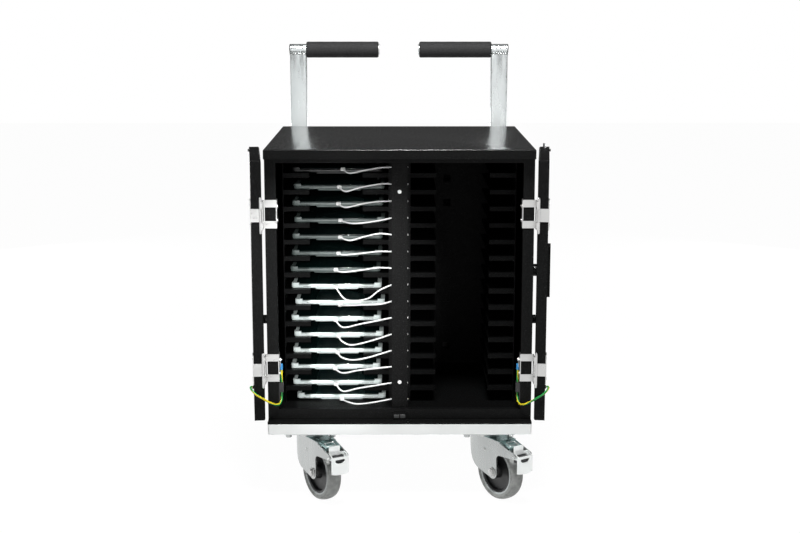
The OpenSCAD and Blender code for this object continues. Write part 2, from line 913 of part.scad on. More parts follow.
module door_buffers() {
    for (z = [door_foot + buffer_inset, door_head - buffer_inset])
        translate([buffer_x, door_in + buffer_t / 2, z])
            rod_y(buffer_r, buffer_t, $fn = small_fn);
}

module left_door_shell() {
    color("dimgray")
        mirror([1, 0, 0]) door_at_rest() door_shell();
}

module left_door_liner() {
    color("dimgray")
        mirror([1, 0, 0]) door_at_rest() door_liner();
}

module left_hinge_leaves() {
    color("silver")
        mirror([1, 0, 0]) door_at_rest() hinge_heights() hinge_door_leaf();
}

module left_door_buffers() {
    color("black")
        mirror([1, 0, 0]) door_at_rest() door_buffers();
}

module right_door_shell() {
    color("dimgray")
        door_at_rest()
            difference() {
                door_shell();
                translate([lock_x, door_out, lock_z])
                    rod_y(spindle_r + run_gap, door_t / 2);
                translate([lock_x + rod_offset, lock_y, door_head])
                    cylinder(r = rod_r + rod_gap, h = 4 * sheet, center = true);
                translate([lock_x - rod_offset, lock_y, door_foot])
                    cylinder(r = rod_r + rod_gap, h = 4 * sheet, center = true);
            }
}

module right_door_liner() {
    color("dimgray")
        door_at_rest()
            difference() {
                door_liner();
                translate([lock_x, door_in, lock_z])
                    rotate([90, 0, 0])
                        translate([0, 0, -over])
                            round_plate(cover_w - 2 * cover_r, cover_h - 2 * cover_r, 2 * sheet + 2 * over, cover_wall);
            }
}

module right_hinge_leaves() {
    color("silver")
        door_at_rest() hinge_heights() hinge_door_leaf();
}

module right_door_buffers() {
    color("black")
        door_at_rest() door_buffers();
}

module lock_cover() {
    color("dimgray")
        door_at_rest()
            translate([lock_x, door_in, lock_z])
                rotate([-90, 0, 0])
                    difference() {
                        round_plate(cover_w, cover_h, cover_t, cover_r);
                        translate([0, 0, -over])
                            round_plate(cover_w - 2 * cover_wall, cover_h - 2 * cover_wall,
                                cover_t - cover_wall + over, cover_r - cover_wall);
                    }
}

// Lock

rod_offset = pitch_r + dedendum + rack_back / 2;

module lock_handle() {
    bar_l = lock_handle_l - lock_handle_w;
    bar_y = door_out - lock_boss_t;
    color("black")
        door_at_rest()
            difference() {
                union() {
                    translate([lock_x, bar_y, lock_z])
                        rotate([90, 0, 0])
                            linear_extrude(lock_handle_t) {
                                square([lock_handle_w, bar_l], center = true);
                                for (s = [-1, 1])
                                    translate([0, s * bar_l / 2])
                                        circle(r = lock_handle_w / 2);
                            }
                    translate([lock_x, (bar_y + door_out - seat_gap) / 2, lock_z])
                        rod_y(lock_boss_r, lock_boss_t - seat_gap);
                    translate([lock_x, (bar_y + lock_y - pinion_t / 2) / 2, lock_z])
                        rod_y(spindle_r, lock_y - pinion_t / 2 - bar_y);
                }
                translate([lock_x, bar_y - lock_handle_t, lock_z])
                    rod_y(cylinder_r + run_gap, 2 * cylinder_l);
            }
}

module key_cylinder() {
    face_y = door_out - lock_boss_t - lock_handle_t - cylinder_out;
    color("silver")
        door_at_rest()
            difference() {
                translate([lock_x, face_y + (cylinder_l + cylinder_out - run_gap) / 2, lock_z])
                    rod_y(cylinder_r, cylinder_l + cylinder_out - run_gap);
                translate([lock_x, face_y, lock_z])
                    cube([keyway_w, keyway_d, keyway_h], center = true);
            }
}

// Half widths of a gear tooth at its tip, pitch line and root, as shares of the tooth pitch
tip_share = 0.09;
mid_share = 0.18;
root_share = 0.26;

module lock_pinion() {
    color("silver")
        door_at_rest()
            translate([lock_x, lock_y + pinion_t / 2, lock_z])
                rotate([90, 0, 0])
                    linear_extrude(pinion_t) {
                        circle(r = pitch_r - dedendum);
                        for (k = [0 : tooth_count - 1])
                            rotate(k * 360 / tooth_count + 180 / tooth_count)
                                polygon([
                                    [0, -root_share * tooth_pitch],
                                    [pitch_r - dedendum, -root_share * tooth_pitch],
                                    [pitch_r, -mid_share * tooth_pitch],
                                    [pitch_r + addendum, -tip_share * tooth_pitch],
                                    [pitch_r + addendum, tip_share * tooth_pitch],
                                    [pitch_r, mid_share * tooth_pitch],
                                    [pitch_r - dedendum, root_share * tooth_pitch],
                                    [0, root_share * tooth_pitch]
                                ]);
                    }
}

// A rack whose pitch line stands at x = 0, with its teeth towards -X
module rack() {
    half_l = rack_teeth * tooth_pitch / 2;
    rotate([90, 0, 0])
        linear_extrude(rack_t, center = true) {
            translate([dedendum, -half_l])
                square([rack_back, 2 * half_l]);
            for (k = [0 : rack_teeth - 1])
                translate([0, (k - (rack_teeth - 1) / 2) * tooth_pitch])
                    polygon([
                        [dedendum, -root_share * tooth_pitch],
                        [0, -mid_share * tooth_pitch],
                        [-addendum, -tip_share * tooth_pitch],
                        [-addendum, tip_share * tooth_pitch],
                        [0, mid_share * tooth_pitch],
                        [dedendum, root_share * tooth_pitch],
                        [dedendum + rack_back / 2, root_share * tooth_pitch],
                        [dedendum + rack_back / 2, -root_share * tooth_pitch]
                    ]);
        }
}

rack_shift = (rack_teeth - 3) / 2 * tooth_pitch;

module upper_lock_rod() {
    low = lock_z + rack_shift;
    color("silver")
        door_at_rest() {
            translate([lock_x + pitch_r, lock_y, low])
                rack();
            translate([lock_x + rod_offset, lock_y, low + rack_teeth * tooth_pitch / 2])
                cylinder(r = rod_r, h = door_head + rod_rise - low - rack_teeth * tooth_pitch / 2);
        }
}

module lower_lock_rod() {
    high = lock_z - rack_shift;
    color("silver")
        door_at_rest() {
            translate([lock_x - pitch_r, lock_y, high])
                rotate([0, 0, 180])
                    rack();
            translate([lock_x - rod_offset, lock_y, door_foot - rod_drop])
                cylinder(r = rod_r, h = high - rack_teeth * tooth_pitch / 2 - door_foot + rod_drop);
        }
}

module door_stops() {
    // The door's outer face stands 90 degrees short of its opening angle from the side panel
    lean = 270 - door_open;
    corner = [side_x - hinge_x, door_out - hinge_y];
    face_x = hinge_x + corner[0] * cos(door_open) - corner[1] * sin(door_open);
    face_y = hinge_y + corner[0] * sin(door_open) + corner[1] * cos(door_open);
    reach = face_x + (stop_y - stop_r - face_y) * tan(lean) - side_x - seat_gap;
    color("black")
        both_sides()
            translate([side_x + reach / 2, stop_y, stop_z])
                rod_x(stop_r, reach);
}

module magnetic_catches() {
    color("gray") {
        block([-catch_w / 2, catch_w / 2], [y_front - catch_t, y_front], [tray_z, tray_z + catch_h]);
        block([-catch_w / 2, catch_w / 2], [y_front - catch_t, y_front],
            [top_rail_z - top_rail_h, top_rail_z - top_rail_h + catch_top_h]);
    }
}

// Load and wiring

module round_tablet_outline(inset) {
    round_outline(tablet_w - 2 * inset, tablet_l - 2 * inset, tablet_r);
}

module tablet_places() {
    for (n = [0 : ledge_count]) {
        shift = tablet_slack * TABLET_shares[n % len(TABLET_shares)];
        lift = n < ledge_count ? 0 : hump_h;
        translate([tablet_x + shift, tablet_y + tablet_l / 2, ledge_z(n) + lift])
            children();
    }
}

module tablet_cases() {
    color("white")
        tablet_places() {
            linear_extrude(tablet_t)
                round_tablet_outline(0);
            translate([-hump_w / 2, -tablet_l / 2 + tablet_r, -hump_h])
                cube([hump_w, tablet_l - 2 * tablet_r, hump_h + over]);
            for (x = [-1, 1], y = [-1, 1])
                translate([x * (tablet_w - corner_l) / 2, y * (tablet_l - corner_l) / 2, tablet_t])
                    case_corner(x, y);
        }
}

// A raised corner of the case, outside the screen
module case_corner(x, y) {
    difference() {
        translate([0, 0, -over])
            round_plate(corner_l, corner_l, corner_rise + over, tablet_r - over);
        translate([-x * screen_inset, -y * screen_inset, 0])
            cube([corner_l, corner_l, 2 * corner_rise + over], center = true);
    }
}

module tablet_screens() {
    color("darkslategray")
        tablet_places()
            translate([0, 0, tablet_t])
                linear_extrude(screen_t)
                    square([tablet_w - 2 * screen_inset, tablet_l - 2 * screen_inset], center = true);
}

module cable_plugs() {
    color("white") {
        for (row = [0 : len(CABLE_ROUTES) - 1]) {
            p = route_point(row, CABLE_ROUTES[row][0]);
            translate([p[0], (p[1] + tablet_y) / 2, p[2]])
                cube([plug_w, tablet_y - p[1], plug_h], center = true);
        }
        for (n = [0 : ledge_count])
            translate([post_half_w - sheet / 2, hole_y, ledge_z(n) + hole_rise])
                rod_x(hole_r - run_gap, tip_l, $fn = small_fn);
    }
}

module charging_cables() {
    color("white")
        for (row = [0 : len(CABLE_ROUTES) - 1])
            tube(sampled([for (p = CABLE_ROUTES[row]) route_point(row, p)], cable_rings),
                cable_d / 2, [0, 0, 1]);
}

module cable_clips() {
    clip_x = side_x - stile_w;
    color("black")
        both_sides()
            difference() {
                union() {
                    block([clip_x - clip_w, clip_x], [clip_y, clip_y + clip_d],
                        [clip_z + clip_h - clip_head_h, clip_z + clip_h]);
                    block([clip_x - clip_foot_t, clip_x], [clip_y, clip_y + clip_d],
                        [clip_z, clip_z + clip_h]);
                }
                translate([earth_x, earth_y, clip_z + clip_h - clip_head_h - over])
                    cylinder(r = earth_d / 2 + seat_gap, h = clip_head_h + 2 * over, $fn = small_fn);
            }
}

module charger_hubs() {
    color("dimgray")
        both_sides()
            block([charger_in, wall_x - charger_side_gap],
                [partition_y + sheet, partition_y + sheet + charger_d],
                [floor_z + charger_foot, floor_z + charger_foot + charger_h]);
}

module mains_inlet() {
    mouth_z = inlet_z - inlet_mouth_drop;
    switch_z = inlet_z + switch_rise;
    color("black")
        difference() {
            union() {
                translate([inlet_x, y_back + inlet_flange_t / 2, inlet_z])
                    cube([inlet_flange_w, inlet_flange_t, inlet_flange_h], center = true);
                translate([inlet_x, y_back - inlet_body_l / 2, inlet_z])
                    cube([inlet_body_w, inlet_body_l, inlet_body_h], center = true);
            }
            difference() {
                translate([inlet_x, y_back + inlet_flange_t - inlet_mouth_d / 2 + over / 2, mouth_z])
                    cube([inlet_mouth_w, inlet_mouth_d + over, inlet_mouth_h], center = true);
                for (k = [-1 : 1])
                    translate([inlet_x + k * inlet_pin_step, y_back - inlet_mouth_d / 2, mouth_z])
                        cube([inlet_pin_w, inlet_mouth_d, inlet_pin_h], center = true);
            }
            translate([inlet_x, y_back + inlet_flange_t, switch_z])
                cube([switch_w + 2 * switch_gap, 2 * (inlet_flange_t + switch_d), switch_h + 2 * switch_gap],
                    center = true);
            translate([inlet_x, y_back - switch_axle_r, switch_z])
                rod_x(switch_axle_r + run_gap, inlet_body_w - switch_axle_r, $fn = small_fn);
        }
}

module mains_switch() {
    tip_z = switch_h / 2 - 2 * switch_gap;
    color("crimson")
        translate([inlet_x, y_back - switch_axle_r, inlet_z + switch_rise])
            rotate([switch_tilt, 0, 0]) {
                rotate([90, 0, 90])
                    linear_extrude(switch_w, center = true)
                        polygon([
                            [-switch_d / 2, -switch_h / 4], [0, -tip_z], [switch_d / 2, -tip_z],
                            [switch_d / 4, 0], [switch_d / 2, tip_z], [0, tip_z],
                            [-switch_d / 2, switch_h / 4]
                        ]);
                rod_x(switch_axle_r, inlet_body_w - 2 * switch_axle_r, $fn = small_fn);
            }
}

function earth_point(p) = [side_x + p[0], y_front + p[1], lower_hinge_z + p[2]];
earth_x = earth_point(EARTH_ROUTE[0])[0];
earth_y = earth_point(EARTH_ROUTE[0])[1];
earth_z = earth_point(EARTH_ROUTE[0])[2];
earth_end_z = earth_point(EARTH_ROUTE[len(EARTH_ROUTE) - 1])[2];
clip_z = lower_hinge_z - clip_drop;

module earth_lugs() {
    face_x = side_x - stile_w - leaf_t - leaf_screw_t;
    screw_z = lower_hinge_z + leaf_screw_step;
    color("silver")
        both_sides() {
            translate([face_x - lug_t / 2, y_front + wrap_d / 2, screw_z])
                rod_x(lug_r, lug_t, $fn = small_fn);
            block([face_x - lug_t, face_x], [y_front + (wrap_d - strap_w) / 2, y_front + (wrap_d + strap_w) / 2],
                [earth_z + sleeve_l / 2, screw_z]);
            translate([earth_x, earth_y, earth_z])
                cylinder(r = sleeve_r, h = sleeve_l, $fn = small_fn);
        }
}

module earth_wire() {
    tube(sampled([for (p = EARTH_ROUTE) earth_point(p)], earth_rings), earth_d / 2, [1, 0, 0]);
}

module earth_wire_left() {
    color("yellowgreen")
        mirror([1, 0, 0]) earth_wire();
}

module earth_wire_right() {
    color("yellowgreen")
        earth_wire();
}

// Casters, drawn with the swivel axis at x = 0 and the wheel towards +X

module caster_plate() {
    low = caster_h - plate_t;
    difference() {
        union() {
            translate([0, 0, low])
                round_plate(plate_l, plate_w, plate_t, plate_r);
            translate([0, 0, low - race_h])
                cylinder(r = race_r, h = race_h + over);
            translate([0, 0, crown_low - seat_gap - kingpin_head_h])
                cylinder(r = kingpin_r, h = low - crown_low + kingpin_head_h);
            translate([0, 0, crown_low - seat_gap - kingpin_head_h])
                cylinder(r = kingpin_head_r, h = kingpin_head_h);
        }
        for (x = [-1, 1], y = [-1, 1])
            translate([x * bolt_dx, y * bolt_dy, low - over])
                cylinder(r = bolt_r + run_gap, h = plate_t + 2 * over, $fn = small_fn);
    }
}

module caster_plates() {
    color("silver")
        caster_places() caster_plate();
}

swivel_x = side_x - side_inset;
leg_rise = crown_low - axle_z;
function leg_point(p) = [p[0] * wheel_r, p[1] * leg_rise];

module leg_outline(braked) {
    shares = concat(LEG_BACK_shares, LEG_FRONT_shares, braked ? BEAK_shares : BLUNT_shares);
    translate([0, axle_z])
        difference() {
            union() {
                polygon([for (p = shares) leg_point(p)]);
                translate([trail, 0])
                    circle(leg_end_r);
                polygon([
                    leg_point(LEG_BACK_shares[3]), leg_point(LEG_BACK_shares[4]), [trail, 0],
                    [trail + leg_end_r, 0], leg_point(LEG_FRONT_shares[0])
                ]);
            }
            if (braked)
                translate(leg_point(PIVOT_shares))
                    circle(pivot_r + run_gap, $fn = small_fn);
        }
}

module caster_fork(braked) {
    crown_x = leg_point(braked ? BEAK_shares[3] : BLUNT_shares[1])[0];
    collar_h = caster_h - plate_t - race_h - seat_gap - crown_low;
    leg_out = leg_in + leg_t;
    difference() {
        union() {
            for (s = [-1, 1])
                translate([0, s * (leg_in + leg_t / 2), 0])
                    rotate([90, 0, 0])
                        linear_extrude(leg_t, center = true)
                            leg_outline(braked);
            block([leg_point(LEG_BACK_shares[0])[0], crown_x], [-leg_out, leg_out],
                [crown_low, crown_low + crown_t]);
            translate([0, 0, crown_low])
                cylinder(r = collar_r, h = collar_h);
            if (braked)
                beak_bridge();
            translate([trail, 0, axle_z]) {
                rod_y(axle_r, 2 * (leg_out + axle_head_h));
                for (s = [-1, 1])
                    translate([0, s * (leg_out + axle_head_h / 2), 0])
                        rotate([90, 0, 0])
                            cylinder(r = axle_head_r, h = axle_head_h, center = true, $fn = 6);
            }
        }
        translate([0, 0, crown_low - over])
            cylinder(r = kingpin_r + run_gap, h = collar_h + 2 * over);
    }
}

// The sloping bridge between the two legs, over the brake
module beak_bridge() {
    top = leg_point(BEAK_shares[3]);
    end = top + (leg_point(BEAK_shares[2]) - top) * bridge_share;
    rotate([90, 0, 0])
        linear_extrude(2 * leg_in, center = true)
            translate([0, axle_z])
                polygon([
                    top - [crown_t, 0], top + [-crown_t, crown_t], top + [0, crown_t],
                    end, end - [0, crown_t], top - [0, crown_t]
                ]);
}

module turned(x, y, angle) {
    translate([x, y, 0])
        rotate([0, 0, angle])
            children();
}

module front_left() {
    turned(-swivel_x, y_front + front_inset, front_left_turn - 90) children();
}

module front_right() {
    turned(swivel_x, y_front + front_inset, front_right_turn - 90) children();
}

module rear_left() {
    turned(-swivel_x, y_back - rear_inset, 90 + rear_turn) children();
}

module rear_right() {
    turned(swivel_x, y_back - rear_inset, 90 - rear_turn) children();
}

module wheel_place() {
    translate([trail, 0, axle_z])
        rotate([90, 0, 0])
            children();
}

module wheel_hub() {
    hub_boss_w = leg_in - hub_side_gap;
    wheel_place()
        rotate_extrude()
            polygon([
                [axle_r + run_gap, -hub_boss_w], [hub_boss_r, -hub_boss_w], [hub_boss_r, -hub_web_half_w],
                [hub_r - hub_rim_t, -hub_web_half_w], [hub_r - hub_rim_t, -hub_half_w], [hub_r, -hub_half_w],
                [hub_r, hub_half_w], [hub_r - hub_rim_t, hub_half_w], [hub_r - hub_rim_t, hub_web_half_w],
                [hub_boss_r, hub_web_half_w], [hub_boss_r, hub_boss_w], [axle_r + run_gap, hub_boss_w]
            ]);
}

module wheel_tyre() {
    half_w = wheel_w / 2;
    shoulder = (hub_r + 2 * wheel_r) / 3;
    wheel_place()
        rotate_extrude($fn = wheel_fn)
            polygon([
                [hub_r, -hub_half_w], [shoulder, -half_w], [wheel_r - tread_side_drop, -half_w + tread_side_drop],
                [wheel_r, -tread_half_w], [wheel_r, tread_half_w],
                [wheel_r - tread_side_drop, half_w - tread_side_drop], [shoulder, half_w], [hub_r, hub_half_w]
            ]);
}

module brake_pedal() {
    cheek_y = leg_in - cheek_gap - cheek_t / 2;
    pivot = leg_point(PIVOT_shares);
    translate([pivot[0], 0, axle_z + pivot[1]]) {
        for (s = [-1, 1])
            translate([0, s * cheek_y, 0])
                rotate([90, 0, 0])
                    linear_extrude(cheek_t, center = true)
                        polygon([
                            [-pedal_reach, -pedal_top], [pedal_reach, -pedal_top], [pedal_reach, pedal_top],
                            [pedal_top, tab_h / 2], [-pedal_top, tab_h / 2], [-pedal_reach, pedal_top]
                        ]);
        rod_y(pivot_r, 2 * (leg_in + leg_t) + pivot_r, $fn = small_fn);
        difference() {
            block([pedal_reach, pedal_reach + pedal_t], [-pedal_w / 2, pedal_w / 2], [-pedal_foot, pedal_top]);
            translate([pedal_reach, 0, -pedal_slot_h])
                cube([2 * pedal_t + over, pedal_slot_w, pedal_slot_h], center = true);
        }
        block([-pedal_top, cheek_t - pedal_top], [-leg_in + cheek_gap, leg_in - cheek_gap],
            [pedal_top, tab_h / 2]);
        block([-pedal_top, cheek_t - pedal_top], [-tab_w / 2 - tab_shift, tab_w / 2 - tab_shift],
            [tab_h / 2, tab_h + pedal_top]);
    }
}

module front_left_fork() {
    color("silver") front_left() caster_fork(true);
}

module front_right_fork() {
    color("silver") front_right() caster_fork(true);
}

module rear_left_fork() {
    color("silver") rear_left() caster_fork(false);
}

module rear_right_fork() {
    color("silver") rear_right() caster_fork(false);
}

module front_left_hub() {
    color("black") front_left() wheel_hub();
}

module front_right_hub() {
    color("black") front_right() wheel_hub();
}

module front_left_tyre() {
    color("gray") front_left() wheel_tyre();
}

module front_right_tyre() {
    color("gray") front_right() wheel_tyre();
}

module rear_left_wheel() {
    color("gray") rear_left() {
        wheel_hub();
        wheel_tyre();
    }
}

module rear_right_wheel() {
    color("gray") rear_right() {
        wheel_hub();
        wheel_tyre();
    }
}

module front_left_pedal() {
    color("silver") front_left() brake_pedal();
}

module front_right_pedal() {
    color("silver") front_right() brake_pedal();
}

base_board();
bottom_tray();
side_panels();
rear_panel();
top_cover();
front_rails();
bay_walls();
bay_floor();
left_ledges();
right_ledges();
centre_post();
rear_partition();
post_screws();
push_handles();
handle_end_plugs();
foam_grips();
m8_bolts();
hinge_frame_leaves();
hinge_pins();
door_stops();
magnetic_catches();
caster_plates();
tablet_cases();
tablet_screens();
cable_plugs();
charging_cables();
cable_clips();
charger_hubs();
mains_inlet();
mains_switch();
earth_lugs();
earth_wire_left();
earth_wire_right();
left_door_shell();
left_door_liner();
left_hinge_leaves();
left_door_buffers();
right_door_shell();
right_door_liner();
right_hinge_leaves();
right_door_buffers();
lock_cover();
lock_handle();
lock_pinion();
key_cylinder();
upper_lock_rod();
lower_lock_rod();
front_left_fork();
front_right_fork();
rear_left_fork();
rear_right_fork();
front_left_hub();
front_right_hub();
front_left_tyre();
front_right_tyre();
rear_left_wheel();
rear_right_wheel();
front_left_pedal();
front_right_pedal();
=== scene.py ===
"""Looks of the tablet charging cart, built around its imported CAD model."""

import math
import random

import bmesh
import bpy
from mathutils import Matrix, Vector


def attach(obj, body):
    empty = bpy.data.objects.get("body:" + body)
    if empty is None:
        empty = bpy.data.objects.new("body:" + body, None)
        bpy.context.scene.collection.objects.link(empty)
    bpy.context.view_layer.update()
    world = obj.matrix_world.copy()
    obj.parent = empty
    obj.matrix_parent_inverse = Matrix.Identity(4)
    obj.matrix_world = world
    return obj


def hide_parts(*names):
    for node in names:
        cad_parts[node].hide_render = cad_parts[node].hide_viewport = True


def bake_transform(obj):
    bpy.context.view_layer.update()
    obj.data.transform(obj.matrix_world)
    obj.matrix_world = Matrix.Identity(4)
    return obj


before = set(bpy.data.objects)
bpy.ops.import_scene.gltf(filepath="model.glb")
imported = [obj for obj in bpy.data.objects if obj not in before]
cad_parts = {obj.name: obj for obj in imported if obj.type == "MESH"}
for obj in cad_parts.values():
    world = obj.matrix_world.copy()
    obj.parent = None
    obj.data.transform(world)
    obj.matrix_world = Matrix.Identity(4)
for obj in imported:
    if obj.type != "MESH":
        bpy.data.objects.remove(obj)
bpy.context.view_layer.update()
MM = 0.001
RNG = random.Random(7)

# Sizes of the CAD model, in millimetres
SIDE_X = 282.0
SHEET = 1.2
Y_FRONT, Y_BACK = -248.0, 262.0
FRONT_OVER = 23.5
TRAY_TOP = 177.0
FLOOR_Z = 192.0
CAP_LOW, CAP_TOP = 740.4, 760.6
PITCH, LEDGES = 36.2, 14
TOP_LEDGE_Z = FLOOR_Z + LEDGES * PITCH
HOLE_Y, HOLE_RISE = Y_FRONT + 42, 18.0
DOOR_FOOT, DOOR_HEAD = TRAY_TOP + 2.8, CAP_LOW - 3.3
DOOR_IN = Y_FRONT - 4.7
DOOR_OUT = DOOR_IN - 22.9
DOOR_FREE = 1.5
HINGE_X, HINGE_Y = SIDE_X + 6.7, DOOR_OUT + 2.7
LOWER_HINGE_Z = DOOR_FOOT + 0.2 * (DOOR_HEAD - DOOR_FOOT)
DOOR_OPEN = math.radians(264)
STILE_W, LEAF_T, LEAF_SCREW_T = 23.4, 1.9, 1.4
POST_X, POST_W, POST_D = SIDE_X - 40.5, 40.0, 20.0
PUSH_Y, PUSH_Z, TUBE_R = Y_BACK + 10, CAP_TOP + 183.3, 13.45
TUBE_IN, TUBE_OUT = 46.8, 260.8
POST_LOW, POST_TOP = PUSH_Z - 483.9, PUSH_Z - 6
TABLET_X, TABLET_Y = -133.0, Y_FRONT + 95
TABLET_W, TABLET_L, TABLET_T = 196.0, 266.0, 7.4
TABLET_SHIFTS = [0, 0.44, -0.03, 0.44, -0.17, -0.35, -0.82, -0.51,
                 0.41, -0.71, -0.03, -0.38, -1, -0.53, 0.64]
TABLET_SLACK = 7.5
BEZEL = 9
HUMP_H, HUMP_HALF_W, HUMP_INSET = 4.0, 47, 8
WHEEL_R, TRAIL = 62.5, 45.0
SWIVEL_X, FRONT_SWIVEL_Y, REAR_SWIVEL_Y = 192.0, Y_FRONT + 37, Y_BACK - 48
# Place of each swivel axis, and where its wheel trails to in degrees from +X
CASTERS = {
    "front_left": (-SWIVEL_X, FRONT_SWIVEL_Y, 31.5 - 90),
    "front_right": (SWIVEL_X, FRONT_SWIVEL_Y, 35.0 - 90),
    "rear_left": (-SWIVEL_X, REAR_SWIVEL_Y, 110.0),
    "rear_right": (SWIVEL_X, REAR_SWIVEL_Y, 70.0),
}
CROWN_LOW, CROWN_TOP = 133.0, 136.0
LEG_OUT, LEG_IN, LEG_TOP = 22.5, 19.5, 70.5

# Routes of the charging cables from plug to post, one a row, as in the CAD model.
# Y is measured from the front, and Z from the row's ledge
CABLE_ROUTES = [
    [(-121, 80, 8), (-106, 60, 3), (-78, 52, 9), (-42, 45, 16)],
    [(-129, 80, 6), (-114, 60, 0), (-81, 52, 10), (-37, 45, 18)],
    [(-131, 80, 6), (-114, 60, 2), (-77, 52, 11), (-49, 45, 16)],
    [(-127, 80, 6), (-103, 58, 4), (-76, 52, 6), (-42, 45, 12)],
    [(-128, 80, 6), (-106, 58, 3), (-73, 50, 13), (-41, 45, 20)],
    [(-132, 80, 6), (-118, 62, 7), (-81, 52, 12), (-47, 46, 17)],
    [(-138, 80, 6), (-121, 60, 6), (-81, 52, 12), (-47, 46, 18)],
    [(-138, 80, 4), (-119, 58, -16), (-94, 50, -19), (-66, 46, -12), (-44, 44, 5)],
    [(-129, 80, 1), (-114, 60, 5), (-80, 52, 8), (-42, 45, 11)],
    [(-139, 80, 3), (-122, 58, -7), (-86, 50, 2), (-47, 45, 11)],
    [(-133, 80, 3), (-125, 60, -2), (-107, 54, -9), (-81, 50, -4), (-47, 45, 7)],
    [(-135, 80, 3), (-126, 60, -2), (-105, 54, -6), (-77, 50, -2), (-40, 45, 10)],
    [(-141, 80, 3), (-123, 60, -1), (-90, 52, 7), (-47, 45, 14)],
    [(-139, 80, 3), (-123, 60, -6), (-90, 52, 3), (-42, 45, 13)],
    [(-127, 80, 6), (-101, 58, 3), (-73, 52, 5), (-38, 45, 13)],
]
CABLE_END = (-17, 42, 18)
# Route of an earth wire from its sleeve to the door, with Y from the front
EARTH_X, EARTH_RISE, EARTH_Z = 253, 12, 284
EARTH_ROUTE = [
    (EARTH_X, EARTH_RISE, EARTH_Z), (253, 12, 262), (253, 12, 236), (253, 10, 227),
    (253.5, 5, 219), (257, -4, 212.5), (266, -13, 213.5), (278, -21.5, 221.5),
    (291, -27, 231), (303, -28.5, 239), (311, -26, 245.5), (315.5, -20.5, 249.5),
    (317.5, -14.5, 251.5), (316.5, -10.5, 252), (313, -10, 252),
]
CABLE_D, EARTH_D = 3.4, 4.4


# Materials

class Nodes:
    """A node tree and short ways to add to it."""

    def __init__(self, tree):
        self.tree = tree

    def first(self, kind):
        return next(n for n in self.tree.nodes if n.type == kind)

    def node(self, kind, **values):
        """Adds a node. A value goes to the input of its name, or else to that setting."""
        made = self.tree.nodes.new(kind)
        for key, value in values.items():
            if key in made.inputs:
                made.inputs[key].default_value = value
            else:
                setattr(made, key, value)
        return made

    def link(self, a, b):
        self.tree.links.new(a, b)

    def math(self, operation, *values):
        """The output of a math node. Each value is a number or another node's output."""
        made = self.node("ShaderNodeMath", operation=operation)
        for place, value in zip(made.inputs, values):
            if isinstance(value, float):
                place.default_value = value
            else:
                self.link(value, place)
        return made.outputs["Value"]

    def remap(self, fac, start, end, low, high):
        made = self.node("ShaderNodeMapRange")
        for key, value in (("From Min", start), ("From Max", end),
                           ("To Min", low), ("To Max", high)):
            made.inputs[key].default_value = value
        self.link(fac, made.inputs["Value"])
        return made.outputs["Result"]

    def xyz(self, kind):
        """The three parts of a kind of texture coordinate."""
        parts = self.node("ShaderNodeSeparateXYZ")
        self.link(self.node("ShaderNodeTexCoord").outputs[kind], parts.inputs["Vector"])
        return parts.outputs


class Shader(Nodes):
    """A principled material. Its methods give it procedural detail."""

    def __init__(self, name, color, rough, metal=0.0, **inputs):
        self.mat = bpy.data.materials.new(name)
        self.mat.use_nodes = True
        super().__init__(self.mat.node_tree)
        self.bsdf = self.first("BSDF_PRINCIPLED")
        self.set("Base Color", (*color, 1))
        self.set("Roughness", rough)
        self.set("Metallic", metal)
        for key, value in inputs.items():
            self.set(key.replace("_", " "), value)
        self.height = None

    def set(self, socket, value):
        self.bsdf.inputs[socket].default_value = value

    def coords(self, stretch=(1, 1, 1)):
        where = self.node("ShaderNodeTexCoord")
        mapping = self.node("ShaderNodeMapping", Scale=stretch)
        self.link(where.outputs["Object"], mapping.inputs["Vector"])
        return mapping.outputs["Vector"]

    def noise(self, scale, detail, stretch=(1, 1, 1)):
        made = self.node("ShaderNodeTexNoise", Scale=scale, Detail=detail, Roughness=0.5)
        self.link(self.coords(stretch), made.inputs["Vector"])
        return made.outputs["Fac"]

    def color(self, fac, stops, ease="LINEAR"):
        """Colours between the stops, each a place and a colour."""
        made = self.node("ShaderNodeValToRGB")
        made.color_ramp.interpolation = ease
        while len(made.color_ramp.elements) < len(stops):
            made.color_ramp.elements.new(0.5)
        for element, (place, color) in zip(made.color_ramp.elements, stops):
            element.position, element.color = place, (*color, 1)
        self.link(fac, made.inputs["Fac"])
        self.link(made.outputs["Color"], self.bsdf.inputs["Base Color"])

    def rough(self, fac, low, high):
        """Roughness from low to high over the usual range of a noise."""
        self.link(self.remap(fac, 0.3, 0.7, low, high), self.bsdf.inputs["Roughness"])

    def bump(self, fac, strength, distance):
        """Adds relief to the relief made so far."""
        made = self.node("ShaderNodeBump", Strength=strength, Distance=distance)
        self.link(fac, made.inputs["Height"])
        if self.height is not None:
            self.link(self.height, made.inputs["Normal"])
        self.height = made.outputs["Normal"]
        self.link(self.height, self.bsdf.inputs["Normal"])
        return self


def powder(name, low, high, rough, gloss, **inputs):
    """Powder coat: an orange-peel grain with a few bright specks, which are painted glints of light
    on the grain.
    """
    made = Shader(name, high, rough, Specular_IOR_Level=gloss, **inputs)
    # The brightest stop is a painted glint: specks 3.5 times lighter than the coat stand in for
    # light catching the grain
    painted_glint = tuple(3.5 * part for part in high)
    made.color(made.noise(420, 2), [(0.35, low), (0.62, high), (0.76, painted_glint)])
    made.rough(made.noise(260, 2), rough - 0.08, rough + 0.08)
    made.bump(made.noise(380, 3), 0.6, 0.0006)
    return made.bump(made.noise(900, 1), 0.25, 0.0002).mat


def metal(name, low, high, rough, stretch=(1, 1, 1), cloud=14, metallic=1.0, bump=0.05):
    """Bare or plated metal, clouded along its rolling direction."""
    made = Shader(name, high, rough, metallic)
    made.color(made.noise(cloud, 4, stretch), [(0.3, low), (0.72, high)])
    made.rough(made.noise(cloud * 4, 3, stretch), rough - 0.07, rough + 0.1)
    return made.bump(made.noise(500, 2, stretch), bump, 0.00015).mat


